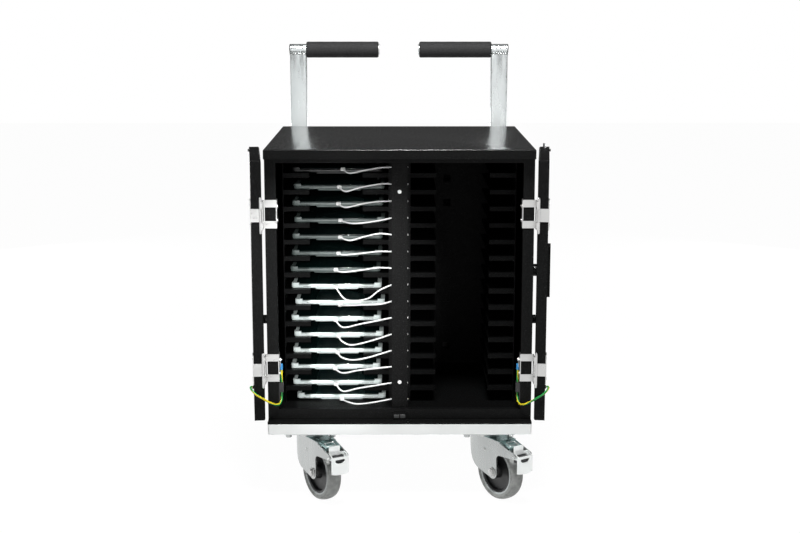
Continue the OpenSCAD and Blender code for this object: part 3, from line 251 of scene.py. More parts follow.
def plain(name, low, high, rough, cloud, bump, **inputs):
    """Plastic, rubber or laminate with slight clouds and a fine grain."""
    made = Shader(name, high, rough, **inputs)
    made.color(made.noise(cloud, 3), [(0.3, low), (0.7, high)])
    made.rough(made.noise(cloud * 3, 3), rough - 0.05, rough + 0.07)
    return made.bump(made.noise(900, 3), bump, 0.0003).mat


COAT = powder("cabinet_coat", (0.0022, 0.0023, 0.0023), (0.0060, 0.0062, 0.0062), 0.40, 0.08)
# A darker, duller copy of the cabinet coat for the inside of the bays: painted shade for the dim
# recess
SHADED_BAY_COAT = powder("bay_coat_painted_shade", (0.0016, 0.0016, 0.0017), (0.0038, 0.0040, 0.0040), 0.42, 0.05)
# A lighter, glossier copy of the cabinet coat for the cover's top: the lighter colour is a painted
# sheen where the top catches light
SHEEN_TOP_COAT = powder("top_coat_painted_sheen", (0.0045, 0.0045, 0.0047), (0.0105, 0.0108, 0.011), 0.22, 0.4,
                  Coat_Weight=1.0, Coat_Roughness=0.2, Coat_IOR=1.7)
ZINC = metal("zinc_plate", (0.46, 0.478, 0.474), (0.54, 0.557, 0.552), 0.24, (1, 1, 0.3), 12,
             bump=0.012)
POST_ZINC = metal("post_zinc", (0.70, 0.745, 0.745), (0.78, 0.81, 0.81), 0.30, (1, 1, 0.12), 30,
                  0.9, 0.03)
STEEL = metal("hinge_steel", (0.60, 0.60, 0.593), (0.67, 0.67, 0.663), 0.32, (0.3, 1, 1), 40)
DARK_STEEL = metal("lock_steel", (0.42, 0.43, 0.44), (0.58, 0.59, 0.60), 0.32, (1, 1, 0.3), 60)
BOARD = plain("board_laminate", (0.78, 0.80, 0.792), (0.83, 0.845, 0.837), 0.42, 9, 0.05)
CASE = plain("case_plastic", (0.70, 0.80, 0.78), (0.82, 0.89, 0.87), 0.38, 25, 0.04)
GRAY_CASE = plain("gray_case_plastic", (0.085, 0.107, 0.102), (0.14, 0.17, 0.163), 0.38, 18, 0.04)
# A near-black copy of the case plastic for the top row: painted shade under the cover's lip
SHADED_ROW_CASE = plain("top_row_case_painted_shade", (0.006, 0.006, 0.006), (0.012, 0.013, 0.013), 0.38, 18, 0.04)
CABLE = plain("cable_sheath", (0.80, 0.81, 0.80), (0.88, 0.885, 0.88), 0.34, 60, 0.05)
BLACK = plain("black_plastic", (0.010, 0.010, 0.011), (0.020, 0.020, 0.021), 0.34, 60, 0.08)
RUBBER = plain("black_rubber", (0.012, 0.012, 0.012), (0.022, 0.022, 0.022), 0.62, 80, 0.15)
RED = plain("red_plastic", (0.36, 0.010, 0.010), (0.46, 0.016, 0.014), 0.25, 80, 0.05)
SLEEVE = plain("blue_sleeve", (0.020, 0.17, 0.42), (0.035, 0.26, 0.56), 0.35, 120, 0.05)


def foam_material():
    made = Shader("foam", (0.03, 0.03, 0.03), 0.8)
    made.color(made.noise(260, 4), [(0.3, (0.010, 0.010, 0.0104)), (0.7, (0.022, 0.022, 0.0226))])
    cells = made.node("ShaderNodeTexVoronoi", Scale=620)
    made.link(made.coords(), cells.inputs["Vector"])
    made.bump(cells.outputs["Distance"], 0.5, 0.0005)
    return made.bump(made.noise(120, 3), 0.3, 0.0006).mat


def tread_material():
    made = Shader("grey_tread", (0.2, 0.2, 0.19), 0.5)
    made.color(made.noise(90, 5), [(0.3, (0.24, 0.247, 0.24)), (0.72, (0.37, 0.38, 0.367))])
    made.rough(made.noise(200, 3), 0.42, 0.6)
    return made.bump(made.noise(800, 3), 0.3, 0.0004).mat


def screen_material():
    made = Shader("tablet_screen", (0.004, 0.012, 0.012), 0.08, Coat_Weight=0.6,
                  Coat_Roughness=0.03)
    made.color(made.noise(8, 2), [(0.3, (0.003, 0.008, 0.008)), (0.7, (0.006, 0.020, 0.019))])
    return made.mat


def earth_material():
    """Green with a yellow stripe that winds slowly round the wire.

    U runs round the wire, and V along it in metres."""
    made = Shader("earth_sheath", (0.1, 0.35, 0.05), 0.36)
    spot = made.xyz("UV")
    turns_per_metre = 9.0
    winding = made.math("FRACT", made.math("MULTIPLY_ADD", spot["Y"], turns_per_metre, spot["X"]))
    made.color(winding, [(0.0, (0.012, 0.26, 0.05)), (0.52, (0.68, 0.55, 0.012))], "CONSTANT")
    return made.bump(made.noise(900, 2), 0.05, 0.0002).mat


FOAM, TREAD, SCREEN, EARTH = foam_material(), tread_material(), screen_material(), earth_material()
# A teal copy of the zinc for faces that look upwards: a painted reflection
TEAL_REFLECTION_ZINC = metal("zinc_painted_teal_reflection", (0.30, 0.42, 0.42), (0.42, 0.55, 0.54), 0.24)
BRIGHT_ZINC = metal("bright_zinc", (0.88, 0.91, 0.90), (0.95, 0.97, 0.96), 0.36, metallic=0.55)
# Rivet heads: partly the rivet's own bright metal, partly a painted glint, as a near-white colour
# that is mostly not metallic
GLINT_RIVET = plain("rivet_head_painted_glint", (0.78, 0.79, 0.78), (0.86, 0.87, 0.86), 0.3, 200, 0.05, Metallic=0.3)
CATCH = plain("catch_magnet", (0.028, 0.029, 0.029), (0.042, 0.044, 0.044), 0.4, 50, 0.05)
RING = plain("tyre_side_ring", (0.44, 0.47, 0.47), (0.54, 0.57, 0.57), 0.45, 40, 0.06)


# Mesh helpers. Meshes are drawn in millimetres and scaled when they are finished

MIRROR = Matrix.Scale(-1, 4, (1, 0, 0))
HINGE = Matrix.Translation((HINGE_X, HINGE_Y, 0))
OPENED = HINGE @ Matrix.Rotation(DOOR_OPEN, 4, "Z") @ HINGE.inverted()
SIDES = ((1, "right", Matrix()), (-1, "left", MIRROR))
AXES = {"z": lambda u, v, h: (u, v, h), "y": lambda u, v, h: (u, h, v),
        "x": lambda u, v, h: (h, u, v)}


def along_x(x, y, z):
    return Matrix.Translation((x, y, z)) @ Matrix.Rotation(math.pi / 2, 4, "Y")


def along_y(x, y, z):
    return Matrix.Translation((x, y, z)) @ Matrix.Rotation(-math.pi / 2, 4, "X")


def finish_mesh(name, bm, material, body=None, nodes=(), matrix=None, smooth=35):
    """Turns a bmesh into an object that rides on a body and stands for the named CAD nodes."""
    if matrix is not None:
        bmesh.ops.transform(bm, matrix=matrix, verts=bm.verts)
        if matrix.determinant() < 0:
            bmesh.ops.reverse_faces(bm, faces=bm.faces)
    bmesh.ops.scale(bm, vec=(MM, MM, MM), verts=bm.verts)
    data = bpy.data.meshes.new(name)
    bm.to_mesh(data)
    bm.free()
    for face in data.polygons:
        face.use_smooth = True
    data.set_sharp_from_angle(angle=math.radians(smooth))
    obj = bpy.data.objects.new(name, data)
    bpy.context.scene.collection.objects.link(obj)
    for one in material if isinstance(material, list) else [material]:
        data.materials.append(one)
    if body:
        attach(obj, body)
    if nodes:
        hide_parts(*nodes)
    return obj


def break_edges(obj, width, segments=2, angle=40):
    mod = obj.modifiers.new("edges", "BEVEL")
    mod.width, mod.segments = width * MM, segments
    mod.limit_method, mod.angle_limit = "ANGLE", math.radians(angle)


def shaped(name, build, material, body, nodes=(), matrix=None, bevel=0.0, smooth=35):
    """Draws a mesh with the given function and hands it to its body and nodes."""
    bm = bmesh.new()
    build(bm)
    bmesh.ops.recalc_face_normals(bm, faces=bm.faces)
    obj = finish_mesh(name, bm, material, body, nodes, matrix, smooth)
    if bevel:
        break_edges(obj, bevel)
    return obj


def dress(material, *names, bevel, segments=2):
    """Gives CAD nodes a material and slightly broken edges."""
    for name in names:
        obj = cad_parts[name]
        if obj.material_slots:
            for slot in obj.material_slots:
                slot.material = material
        else:
            obj.data.materials.append(material)
        break_edges(obj, bevel, segments)


def circle(radius, sides, turn=0.0):
    """Points of a circle as pairs."""
    return [(radius * math.cos(a), radius * math.sin(a))
            for a in (2 * math.pi * k / sides + turn for k in range(sides))]


def ring_rect(u, v, corner, steps=4):
    """Points of a rectangle with round corners."""
    out = []
    for cu, cv, start in ((u[1] - corner, v[1] - corner, 0), (u[0] + corner, v[1] - corner, 90),
                          (u[0] + corner, v[0] + corner, 180), (u[1] - corner, v[0] + corner, 270)):
        for k in range(steps + 1):
            a = math.radians(start + 90 * k / steps)
            out.append((cu + corner * math.cos(a), cv + corner * math.sin(a)))
    return out


def loft(bm, rings, closed=False):
    """Skins rings of points. It caps both ends, or joins the last ring to the first."""
    made = [[bm.verts.new(p) for p in ring] for ring in rings]
    count = len(made[0])
    for a, b in list(zip(made, made[1:])) + ([(made[-1], made[0])] if closed else []):
        for k in range(count):
            n = (k + 1) % count
            bm.faces.new((a[k], a[n], b[n], b[k]))
    if not closed:
        bm.faces.new(list(reversed(made[0])))
        bm.faces.new(made[-1])


def soft_box(bm, u, v, h, r, corner, axis="z", steps=3, corner_steps=4):
    """A box with round corners along an axis and soft edges at both ends."""
    turns = [math.pi / 2 * k / steps for k in range(steps + 1)]
    ends = [(r * (1 - math.sin(a)), r * (1 - math.cos(a))) for a in turns]
    levels = [(i, h[0] + d) for i, d in ends] + [(i, h[1] - d) for i, d in reversed(ends)]
    rings = []
    for i, at in levels:
        ring = ring_rect((u[0] + i, u[1] - i), (v[0] + i, v[1] - i), max(corner - i, 0.05),
                         corner_steps)
        rings.append([AXES[axis](pu, pv, at) for pu, pv in ring])
    loft(bm, rings)


def pan(bm, u, v, low, top, fold, corner, axis="z", steps=5):
    """A folded sheet pan, open at its low side."""
    way = 1 if top > low else -1
    inner = max(fold - SHEET, 0.4)
    arc = [math.pi / 2 * k / steps for k in range(steps + 1)]
    levels = [(SHEET + inner * (1 - math.cos(a)), top - way * (SHEET + inner * (1 - math.sin(a))))
              for a in reversed(arc)]
    levels += [(SHEET, low), (0, low)]
    levels += [(fold * (1 - math.cos(a)), top - way * fold * (1 - math.sin(a))) for a in arc]
    rings = []
    for i, at in levels:
        ring = ring_rect((u[0] + i, u[1] - i), (v[0] + i, v[1] - i), max(corner - i, 0.1))
        rings.append([AXES[axis](pu, pv, at) for pu, pv in ring])
    loft(bm, rings)


def spin(bm, stations, matrix=Matrix(), sides=48, closed=False):
    """Turns (place along, radius) stations round the local Z axis."""
    loft(bm, [[matrix @ Vector((x, y, at)) for x, y in circle(r, sides)] for at, r in stations],
         closed)


def smooth_path(points, per_span):
    """Points of a smooth curve through the given ones."""
    pts = [Vector(p) for p in points]
    out = []
    for i in range(len(pts) - 1):
        a, b, c, d = pts[max(0, i - 1)], pts[i], pts[i + 1], pts[min(len(pts) - 1, i + 2)]
        for k in range(per_span):
            t = k / per_span
            out.append((2 * b + (c - a) * t + (2 * a - 5 * b + 4 * c - d) * t * t
                        + (3 * b - a - 3 * c + d) * t ** 3) / 2)
    return out + [pts[-1]]


def add_tube(bm, path, radius, sides, uv=False):
    """A closed round tube along a path, with an optional UV map round and along it."""
    layer = bm.loops.layers.uv.verify() if uv else None
    across = None
    rings, dists, gone = [], [], 0.0
    for k, p in enumerate(path):
        ahead = (path[min(k + 1, len(path) - 1)] - path[max(k - 1, 0)]).normalized()
        if across is None:
            across = ahead.orthogonal()
        across = (across - across.dot(ahead) * ahead).normalized()
        up = ahead.cross(across)
        rings.append([bm.verts.new(p + radius * (c * across + s * up))
                      for c, s in circle(1, sides)])
        gone += (p - path[k - 1]).length if k else 0
        dists.append(gone)
    for k in range(len(rings) - 1):
        for s in range(sides):
            n = (s + 1) % sides
            face = bm.faces.new((rings[k][s], rings[k][n], rings[k + 1][n], rings[k + 1][s]))
            if layer:
                spots = ((s, k), (s + 1, k), (s + 1, k + 1), (s, k + 1))
                for loop, (u, v) in zip(face.loops, spots):
                    loop[layer].uv = (u / sides, dists[v] * MM)
    bm.faces.new(list(reversed(rings[0])))
    bm.faces.new(rings[-1])


# Camera, lights and floor

ROOM_LIGHT = 0.055
HORIZON_BAND = 0.02
FLOOR_GREY, FLOOR_GLOW, FLOOR_SHARE = 0.45, 1.05, 0.93
FLOOR_SIZE, FLOOR_SINK = 9000, 0.6
# Name, place, target and size in metres, and watts
LAMPS = [
    ("key", (0.1, -1.4, 3.05), (0, -0.25, 0.5), (0.7, 0.5), 125),
    ("front", (0, -4.2, 1.3), (0, 0, 0.4), (3.4, 1.7), 18),
    ("left", (-2.3, -1.6, 1.2), (0, -0.1, 0.4), (0.9, 1.8), 7),
    ("right", (2.3, -1.5, 1.2), (0, -0.1, 0.4), (0.9, 1.8), 6),
    ("rear_left", (-1.9, 2.7, 0.42), (-0.1, 0.2, 0.42), (0.9, 0.6), 26),
    ("rear_right", (1.9, 2.7, 0.42), (0.1, 0.2, 0.42), (0.9, 0.6), 26),
]


def placed(name, data, place):
    obj = bpy.data.objects.new(name, data)
    bpy.context.scene.collection.objects.link(obj)
    obj.location = place
    return obj


def aim(obj, target):
    obj.rotation_euler = (Vector(target) - obj.location).to_track_quat("-Z", "Y").to_euler()


def make_camera():
    data = bpy.data.cameras.new("camera")
    data.lens, data.sensor_width = 64.32, 36
    data.clip_start, data.clip_end = 0.05, 60
    cam = placed("camera", data, (-0.0099, -3.206, 1.0736))
    down, aside = 10.765, -0.207
    cam.rotation_euler = (math.radians(90 - down), 0, math.radians(aside))
    bpy.context.scene.camera = cam


def make_world():
    """White for the camera, and a dim room for light."""
    world = bpy.data.worlds.new("studio")
    bpy.context.scene.world = world
    world.use_nodes = True
    sky = Nodes(world.node_tree)
    rays = sky.node("ShaderNodeLightPath").outputs
    seen = sky.math("MAXIMUM", rays["Is Camera Ray"], rays["Is Transmission Ray"])
    # Glossy rays meet the white backdrop up to the horizon, and the dim room above it
    below = sky.remap(sky.xyz("Generated")["Z"], -HORIZON_BAND, 0.0, 1.0, 0.0)
    mirrored = sky.math("MULTIPLY", rays["Is Glossy Ray"], below)
    mix = sky.node("ShaderNodeMix", data_type="FLOAT", A=ROOM_LIGHT, B=1.0)
    sky.link(sky.math("MAXIMUM", seen, mirrored), mix.inputs["Factor"])
    back = sky.first("BACKGROUND")
    back.inputs["Color"].default_value = (1, 1, 1, 1)
    sky.link(mix.outputs["Result"], back.inputs["Strength"])


def make_lamps():
    for name, place, target, size, watts in LAMPS:
        data = bpy.data.lights.new(name, "AREA")
        data.shape = "RECTANGLE"
        data.size, data.size_y = size
        data.energy = watts
        aim(placed(name, data, place), target)
    narrow = bpy.data.lights.new("bay", "SPOT")
    narrow.energy, narrow.shadow_soft_size = 380, 0.06
    narrow.spot_size, narrow.spot_blend = math.radians(8.7), 0.08
    spot = placed("bay", narrow, (-0.05, -3.6, 1.25))
    spot.scale = (0.74, 1, 1)
    aim(spot, (-0.135, -0.17, 0.425))


def make_floor():
    """A grey floor that takes shadows and looks nearly white to camera and glossy rays."""
    bm = bmesh.new()
    bmesh.ops.create_grid(bm, x_segments=1, y_segments=1, size=FLOOR_SIZE)
    bmesh.ops.translate(bm, vec=(0, 0, -FLOOR_SINK), verts=bm.verts)
    made = Shader("floor", (FLOOR_GREY, FLOOR_GREY, FLOOR_GREY), 0.7)
    rays = made.node("ShaderNodeLightPath").outputs
    seen = made.math("MAXIMUM", rays["Is Camera Ray"], rays["Is Glossy Ray"])
    glow = made.node("ShaderNodeEmission", Color=(1, 1, 1, 1), Strength=FLOOR_GLOW)
    blend = made.node("ShaderNodeMixShader")
    made.link(made.math("MULTIPLY", seen, FLOOR_SHARE), blend.inputs["Fac"])
    made.link(made.bsdf.outputs["BSDF"], blend.inputs[1])
    made.link(glow.outputs["Emission"], blend.inputs[2])
    made.link(blend.outputs["Shader"], made.first("OUTPUT_MATERIAL").inputs["Surface"])
    finish_mesh("floor", bm, made.mat)


bpy.context.scene.view_settings.view_transform = "Standard"
make_camera()
make_world()
make_lamps()
make_floor()


# Cords

def ledge_z(row):
    return TOP_LEDGE_Z - row * PITCH if row < LEDGES else FLOOR_Z


def on_row(row, point):
    x, y, z = point
    return x, Y_FRONT + y, ledge_z(row) + z


def plug_mesh(row):
    """A flat moulded plug with a tapered sleeve, from the tablet's edge to the cable."""
    x, y, z = on_row(row, CABLE_ROUTES[row][0])
    steps = ((TABLET_Y - 0.05, 4.6, 3.1), (TABLET_Y - 1.2, 5.0, 3.6), (y + 3.6, 5.0, 3.7),
             (y + 2.2, 4.6, 3.4), (y + 1.5, 2.9, 2.7), (y + 0.9, 2.9, 2.7), (y + 0.7, 2.2, 2.1),
             (y - 0.6, 2.2, 2.1), (y - 0.8, 2.7, 2.5), (y - 1.4, 2.7, 2.5), (y - 1.6, 2.1, 2.0),
             (y - 2.8, 1.9, 1.8))

    def bulge(part):
        return math.copysign(abs(part) ** 0.45, part)
    bm = bmesh.new()
    loft(bm, [[(x + half_w * bulge(c), at, z + half_h * bulge(s)) for c, s in circle(1, 16)]
              for at, half_w, half_h in steps])
    bmesh.ops.recalc_face_normals(bm, faces=bm.faces)
    return bm


def make_cables():
    tips = bmesh.new()
    for row in range(LEDGES + 1):
        for x0, x1, r in ((13.0, 17.2, 3.3), (17.2, 18.3, 2.1)):
            turn = along_x((x0 + x1) / 2, HOLE_Y, ledge_z(row) + HOLE_RISE)
            bmesh.ops.create_cone(tips, cap_ends=True, segments=20, radius1=r, radius2=r - 0.5,
                                  depth=x1 - x0, matrix=turn)
    finish_mesh("parked_connectors", tips, CABLE, "cabinet", ["cable_plugs"])
    for row in range(LEDGES + 1):
        path = smooth_path([on_row(row, spot) for spot in CABLE_ROUTES[row] + [CABLE_END]], 6)
        bm = bmesh.new()
        add_tube(bm, path, CABLE_D / 2, 12)
        cable = finish_mesh("cable_%02d" % (row + 1), bm, CABLE, "cabinet", ["charging_cables"])
        plug = finish_mesh("plug_%02d" % (row + 1), plug_mesh(row), CABLE, "cabinet",
                           ["cable_plugs"])


def make_earth_wires():
    for side, name, _ in reversed(SIDES):
        path = [Vector((side * p.x, p.y + Y_FRONT, p.z)) for p in smooth_path(EARTH_ROUTE, 3)]
        bm = bmesh.new()
        add_tube(bm, path, EARTH_D / 2, 14, uv=True)
        bmesh.ops.recalc_face_normals(bm, faces=bm.faces)
        wire = finish_mesh("earth_wire_look_" + name, bm, EARTH)
        # The wire bends in the gap between cabinet and door
        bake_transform(wire)
        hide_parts("earth_wire_" + name)


# Cabinet sheet metal

def make_cabinet():
    def cover(bm):
        pan(bm, (-SIDE_X, SIDE_X), (Y_FRONT - FRONT_OVER, Y_BACK), CAP_LOW, CAP_TOP, 2.8, 1.6)
        for face in bm.faces:
            # Faces on top and along the top of the front fold take the lighter coat: painted sheen
            # and a painted highlight line
            face.material_index = int(face.calc_center_median().z > CAP_TOP - 1.5)
    shaped("cover", cover, [COAT, SHEEN_TOP_COAT], "cabinet", ["top_cover"])
    dress(COAT, "side_panels", "front_rails", "centre_post", "left_door_liner",
          "right_door_liner", "rear_panel", "bottom_tray", bevel=0.5)
    dress(COAT, "lock_cover", bevel=1)
    # Bay walls, floor, ledges and partition take the darker coat as painted shade
    dress(SHADED_BAY_COAT, "bay_walls", "bay_floor", "left_ledges", "right_ledges", "rear_partition",
          bevel=0.45)
    dress(BOARD, "base_board", bevel=1.2, segments=3)
    dress(BLACK, "mains_inlet", "cable_clips", bevel=0.7)
    # The charger hubs behind the knockouts are darkened with the same painted shade
    dress(SHADED_BAY_COAT, "charger_hubs", bevel=2)
    dress(RUBBER, "door_stops", "left_door_buffers", "right_door_buffers", bevel=0.6)
    dress(STEEL, "hinge_frame_leaves", "hinge_pins", "left_hinge_leaves", "right_hinge_leaves",
          bevel=0.35)
    dress(DARK_STEEL, "lock_pinion", "upper_lock_rod", "lower_lock_rod", "key_cylinder",
          bevel=0.3)
    dress(BLACK, "lock_handle", bevel=2.2, segments=3)
    dress(COAT, "magnetic_catches", bevel=0.4)
    dress(CABLE, "post_screws", bevel=0.8, segments=3)
    dress(RED, "mains_switch", bevel=0.6)
    dress(ZINC, "m8_bolts", "caster_plates", bevel=0.5)

    def catch_plates(bm):
        for x in (-6.6, 6.6):
            soft_box(bm, (x - 5.4, x + 5.4), (TRAY_TOP + 4, TRAY_TOP + 11.4),
                     (Y_FRONT - 4.45, Y_FRONT - 3.6), 0.2, 0.6, "y", 1, 2)
    shaped("catch_plates", catch_plates, CATCH, "cabinet")


def make_doors():
    def shell(bm):
        pan(bm, (DOOR_FREE, SIDE_X), (DOOR_FOOT, DOOR_HEAD), DOOR_IN - SHEET - 0.02, DOOR_OUT,
            3.5, 1.2, "y")
    for _, name, flip in SIDES:
        shaped("door_shell_look_" + name, shell, COAT, name + "_door", [name + "_door_shell"],
               flip @ OPENED)


# Push handles

def make_handles():
    tube_places = [flip @ along_x(0, PUSH_Y, PUSH_Z) for flip in (Matrix(), MIRROR)]

    def tubes(bm):
        for side, place in zip((-1, 1), reversed(tube_places)):
            x = side * POST_X
            soft_box(bm, (x - POST_W / 2, x + POST_W / 2), (Y_BACK, Y_BACK + POST_D),
                     (POST_LOW, POST_TOP), 0.6, 3.2, steps=2, corner_steps=5)
            spin(bm, [(TUBE_IN, 11.5), (TUBE_IN, TUBE_R - 0.5), (TUBE_IN + 0.5, TUBE_R),
                      (TUBE_OUT - 0.5, TUBE_R), (TUBE_OUT, TUBE_R - 0.5), (TUBE_OUT, 11.5)],
                 place, 64)
    shaped("handle_tubes", tubes, POST_ZINC, "cabinet", ["push_handles"])

    def welds(bm):
        half_w, half_d = POST_W / 2, POST_D / 2
        for side in (-1, 1):
            path = []
            for px, py in ring_rect((POST_X - half_w, POST_X + half_w), (-half_d, half_d), 3.2, 5):
                reach = TUBE_R ** 2 - py ** 2
                path.append(Vector((side * px, PUSH_Y + py,
                                    PUSH_Z - math.sqrt(max(reach, 4.0)) - 0.2)))
            dense = []
            for a, b in zip(path, path[1:] + path[:1]):
                steps = max(1, int((b - a).length / 1.3))
                dense += [a.lerp(b, k / steps) for k in range(steps)]
            rings = []
            for k, point in enumerate(dense):
                ahead = (dense[(k + 1) % len(dense)] - dense[k - 1]).normalized()
                out = ahead.cross(Vector((0, 0, 1))).normalized()
                up = out.cross(ahead)
                bead = 1.35 + 0.3 * math.sin(k * 1.9) + 0.12 * RNG.random()
                rings.append([point + bead * (c * out + s * up) for c, s in circle(1, 6)])
            loft(bm, rings, True)
    shaped("handle_welds", welds, ZINC, "cabinet", smooth=60)

    def plugs(bm):
        for place in tube_places:
            spin(bm, [(TUBE_OUT - 10, 11.3), (TUBE_OUT, 11.3), (TUBE_OUT, TUBE_R - 0.3),
                      (261.2, TUBE_R), (262.4, TUBE_R - 0.4), (263.0, TUBE_R - 1.6),
                      (263.3, TUBE_R - 4)], place)
            spin(bm, [(TUBE_IN, 11.3), (47.0, 10.6), (56.8, 10.6)], place)
    shaped("end_plugs", plugs, BLACK, "cabinet", ["handle_end_plugs"])

    def grips(bm):
        rise = [(48.9, TUBE_R + 0.02), (48.9, 16.0), (49.6, 17.8), (51.2, 18.8), (53.5, 19.15)]
        waves = [(x, 19.13 - 0.12 * (0.5 + 0.5 * math.sin(x * 0.19))) for x in range(58, 216, 5)]
        fall = [(218, 19.15), (220.2, 18.8), (221.8, 17.8), (222.4, 16.0), (222.4, TUBE_R + 0.02)]
        for place in tube_places:
            spin(bm, rise + waves + fall, place, 64)
    shaped("grips", grips, FOAM, "cabinet", ["foam_grips"], smooth=50)


# Tablets

def tablet_places():
    for row, share in enumerate(TABLET_SHIFTS):
        yield TABLET_X + share * TABLET_SLACK, ledge_z(row) + (0 if row < LEDGES else HUMP_H)


def case_corner(bm, x, y, sx, sy, z):
    """A raised L-shaped corner of a case, seen from its outer corner inwards."""
    bend = [(7 - 7 * math.sin(a), 7 - 7 * math.cos(a))
            for a in (math.radians(d) for d in (18, 36, 54, 72))]
    flat = [(16, 0), (7, 0)] + bend + [(0, 7), (0, 16), (9, 16), (9, 9), (16, 9)]
    middle = 5.5
    rings = []
    for grow, h in ((0.0, -1.2), (0.0, 2.6), (0.28, 3.5), (0.9, 4.0)):
        rings.append([(x - sx * (a + grow * (0.9 if a < middle else -0.9)),
                       y - sy * (b + grow * (0.9 if b < middle else -0.9)), z + h)
                      for a, b in flat])
    loft(bm, rings)


def make_tablets():
    half_w, half_l = TABLET_W / 2, TABLET_L / 2
    mid_y = TABLET_Y + half_l
    end_y = TABLET_Y + TABLET_L

    def cases(bm):
        for row, (x, z) in enumerate(tablet_places()):
            done = len(bm.faces)
            soft_box(bm, (x - half_w, x + half_w), (TABLET_Y, end_y), (z, z + TABLET_T), 2.7, 8,
                     steps=4)
            soft_box(bm, (x - HUMP_HALF_W, x + HUMP_HALF_W),
                     (TABLET_Y + HUMP_INSET, end_y - HUMP_INSET), (z - HUMP_H, z + 3), 1.6, 4)
            for sx in (-1, 1):
                for sy in (-1, 1):
                    case_corner(bm, x + sx * half_w, mid_y + sy * half_l, sx, sy, z + TABLET_T)
            bm.faces.ensure_lookup_table()
            for face in bm.faces[done:]:
                # Row 1 takes the near-black case as painted shade, rows 2 to 7 the grey cases and
                # the rest the pale ones
                face.material_index = 0 if row > 6 else 1 if row else 2
    shaped("cases", cases, [CASE, GRAY_CASE, SHADED_ROW_CASE], "cabinet", ["tablet_cases"])

    def screens(bm):
        for x, z in tablet_places():
            soft_box(bm, (x - half_w + BEZEL, x + half_w - BEZEL),
                     (TABLET_Y + BEZEL, end_y - BEZEL),
                     (z + TABLET_T - 0.3, z + TABLET_T + 0.6), 0.3, 4, steps=2)
    shaped("screens", screens, SCREEN, "cabinet", ["tablet_screens"])

    def slots(bm):
        for x, z in tablet_places():
            for dx, w in ((-64, 9), (-40, 4), (58, 12), (76, 5)):
                soft_box(bm, (x + dx - w, x + dx + w), (z + 3.0, z + 4.2),
                         (TABLET_Y - 0.04, TABLET_Y + 1), 0.3, 0.5, "y", 1, 2)
    shaped("case_slots", slots, BLACK, "cabinet")


# Earth bonding

def make_lugs():
    z = EARTH_Z
    screw_y, screw_z = Y_FRONT + 11, LOWER_HINGE_Z + 15
    face = SIDE_X - STILE_W - LEAF_T - LEAF_SCREW_T

    def sleeve(bm):
        spin(bm, [(z - 0.2, 2.3), (z, 2.9), (z + 3, 3.0), (z + 9, 2.85), (z + 12.4, 3.0),
                  (z + 13, 2.4)], Matrix.Translation((EARTH_X, Y_FRONT + EARTH_RISE, 0)), 24)

    def lug(bm):
        place = along_x(0, screw_y, screw_z)
        soft_box(bm, (screw_y - 2, screw_y + 2), (z + 6, screw_z), (face - 1, face), 0.2, 0.8,
                 "x", 1, 2)
        spin(bm, [(face - 1, 4.1), (face - 0.9, 4.5), (face - 0.05, 4.6)], place, 28)
        spin(bm, [(face - 3.2, 1.6), (face - 2.9, 2.6), (face - 1, 2.9)], place, 24)
    for _, name, flip in SIDES:
        shaped("earth_sleeve_" + name, sleeve, SLEEVE, "cabinet", ["earth_lugs"],
               flip)
        shaped("earth_lug_" + name, lug, STEEL, "cabinet", ["earth_lugs"], flip)


# Casters. Each is drawn with its swivel axis at x = 0 and its wheel towards +X.
# A leg is a row of its low and high edge points, with heights above the axle

LEG_BACK = [((x, z), (high_x, LEG_TOP)) for x, z, high_x in (
    (-43.1, 57.5, -43.1), (-41.4, 45, -39), (-38.6, 33, -35), (-34.0, 21.4, -30),
    (-26, 10.5, -23), (-16.5, 3, -15), (-7.5, -2, -7), (8, -6.4, 8), (23, -9.8, 22),
    (36, -12.6, 34), (41, -14.5, 39), (45, -15, 43), (50.7, -13.8, 47), (55.6, -10.6, 50),
    (58.9, -5.7, 52.5), (60, 0, 54.5), (59.4, 12, 56), (58.4, 26, 57.5), (58.2, 33, 59.5))]
BEAK_X = 68.75
LEG_BEAK = [((60.4, 38.4), (63, LEG_TOP)), ((66.2, 42.2), (BEAK_X, LEG_TOP)),
            ((80, 43.4), (82, 66.9)), ((98, 44.8), (100, 62.0)), ((113, 46.1), (114.5, 58)),
            ((119.6, 48.6), (119.4, 56.2)), ((122.8, 51.8), (122.4, 54.8))]
LEG_BLUNT = [((60.4, 38.4), (61.2, LEG_TOP)), ((64.6, 41.2), (64.4, 66.4)),
             ((68.2, 45.6), (67.6, 58)), ((69.6, 49.4), (69.4, 52))]
CROWN_BACK, BLUNT_CROWN_X = -43.1, 61.5
AXLE_NUT_R = 8.5


def tuck(x):
    """How far the sides of a fork bend inwards towards its back."""
    return 8.5 * max(0.0, (-10 - x) / 33) ** 2


def fork_leg(bm, pairs, side, rows=6):
    """One leg of a fork: a pressed sheet that follows the tuck."""
    rings = []
    for (lx, lz), (hx, hz) in pairs:
        points = [(lx + (hx - lx) * k / rows, lz + (hz - lz) * k / rows) for k in range(rows + 1)]
        outer = [(x, side * (LEG_OUT - tuck(x)), WHEEL_R + z) for x, z in points]
        inner = [(x, side * (LEG_IN - tuck(x)), WHEEL_R + z) for x, z in reversed(points)]
        rings.append(outer + inner)
    loft(bm, rings)


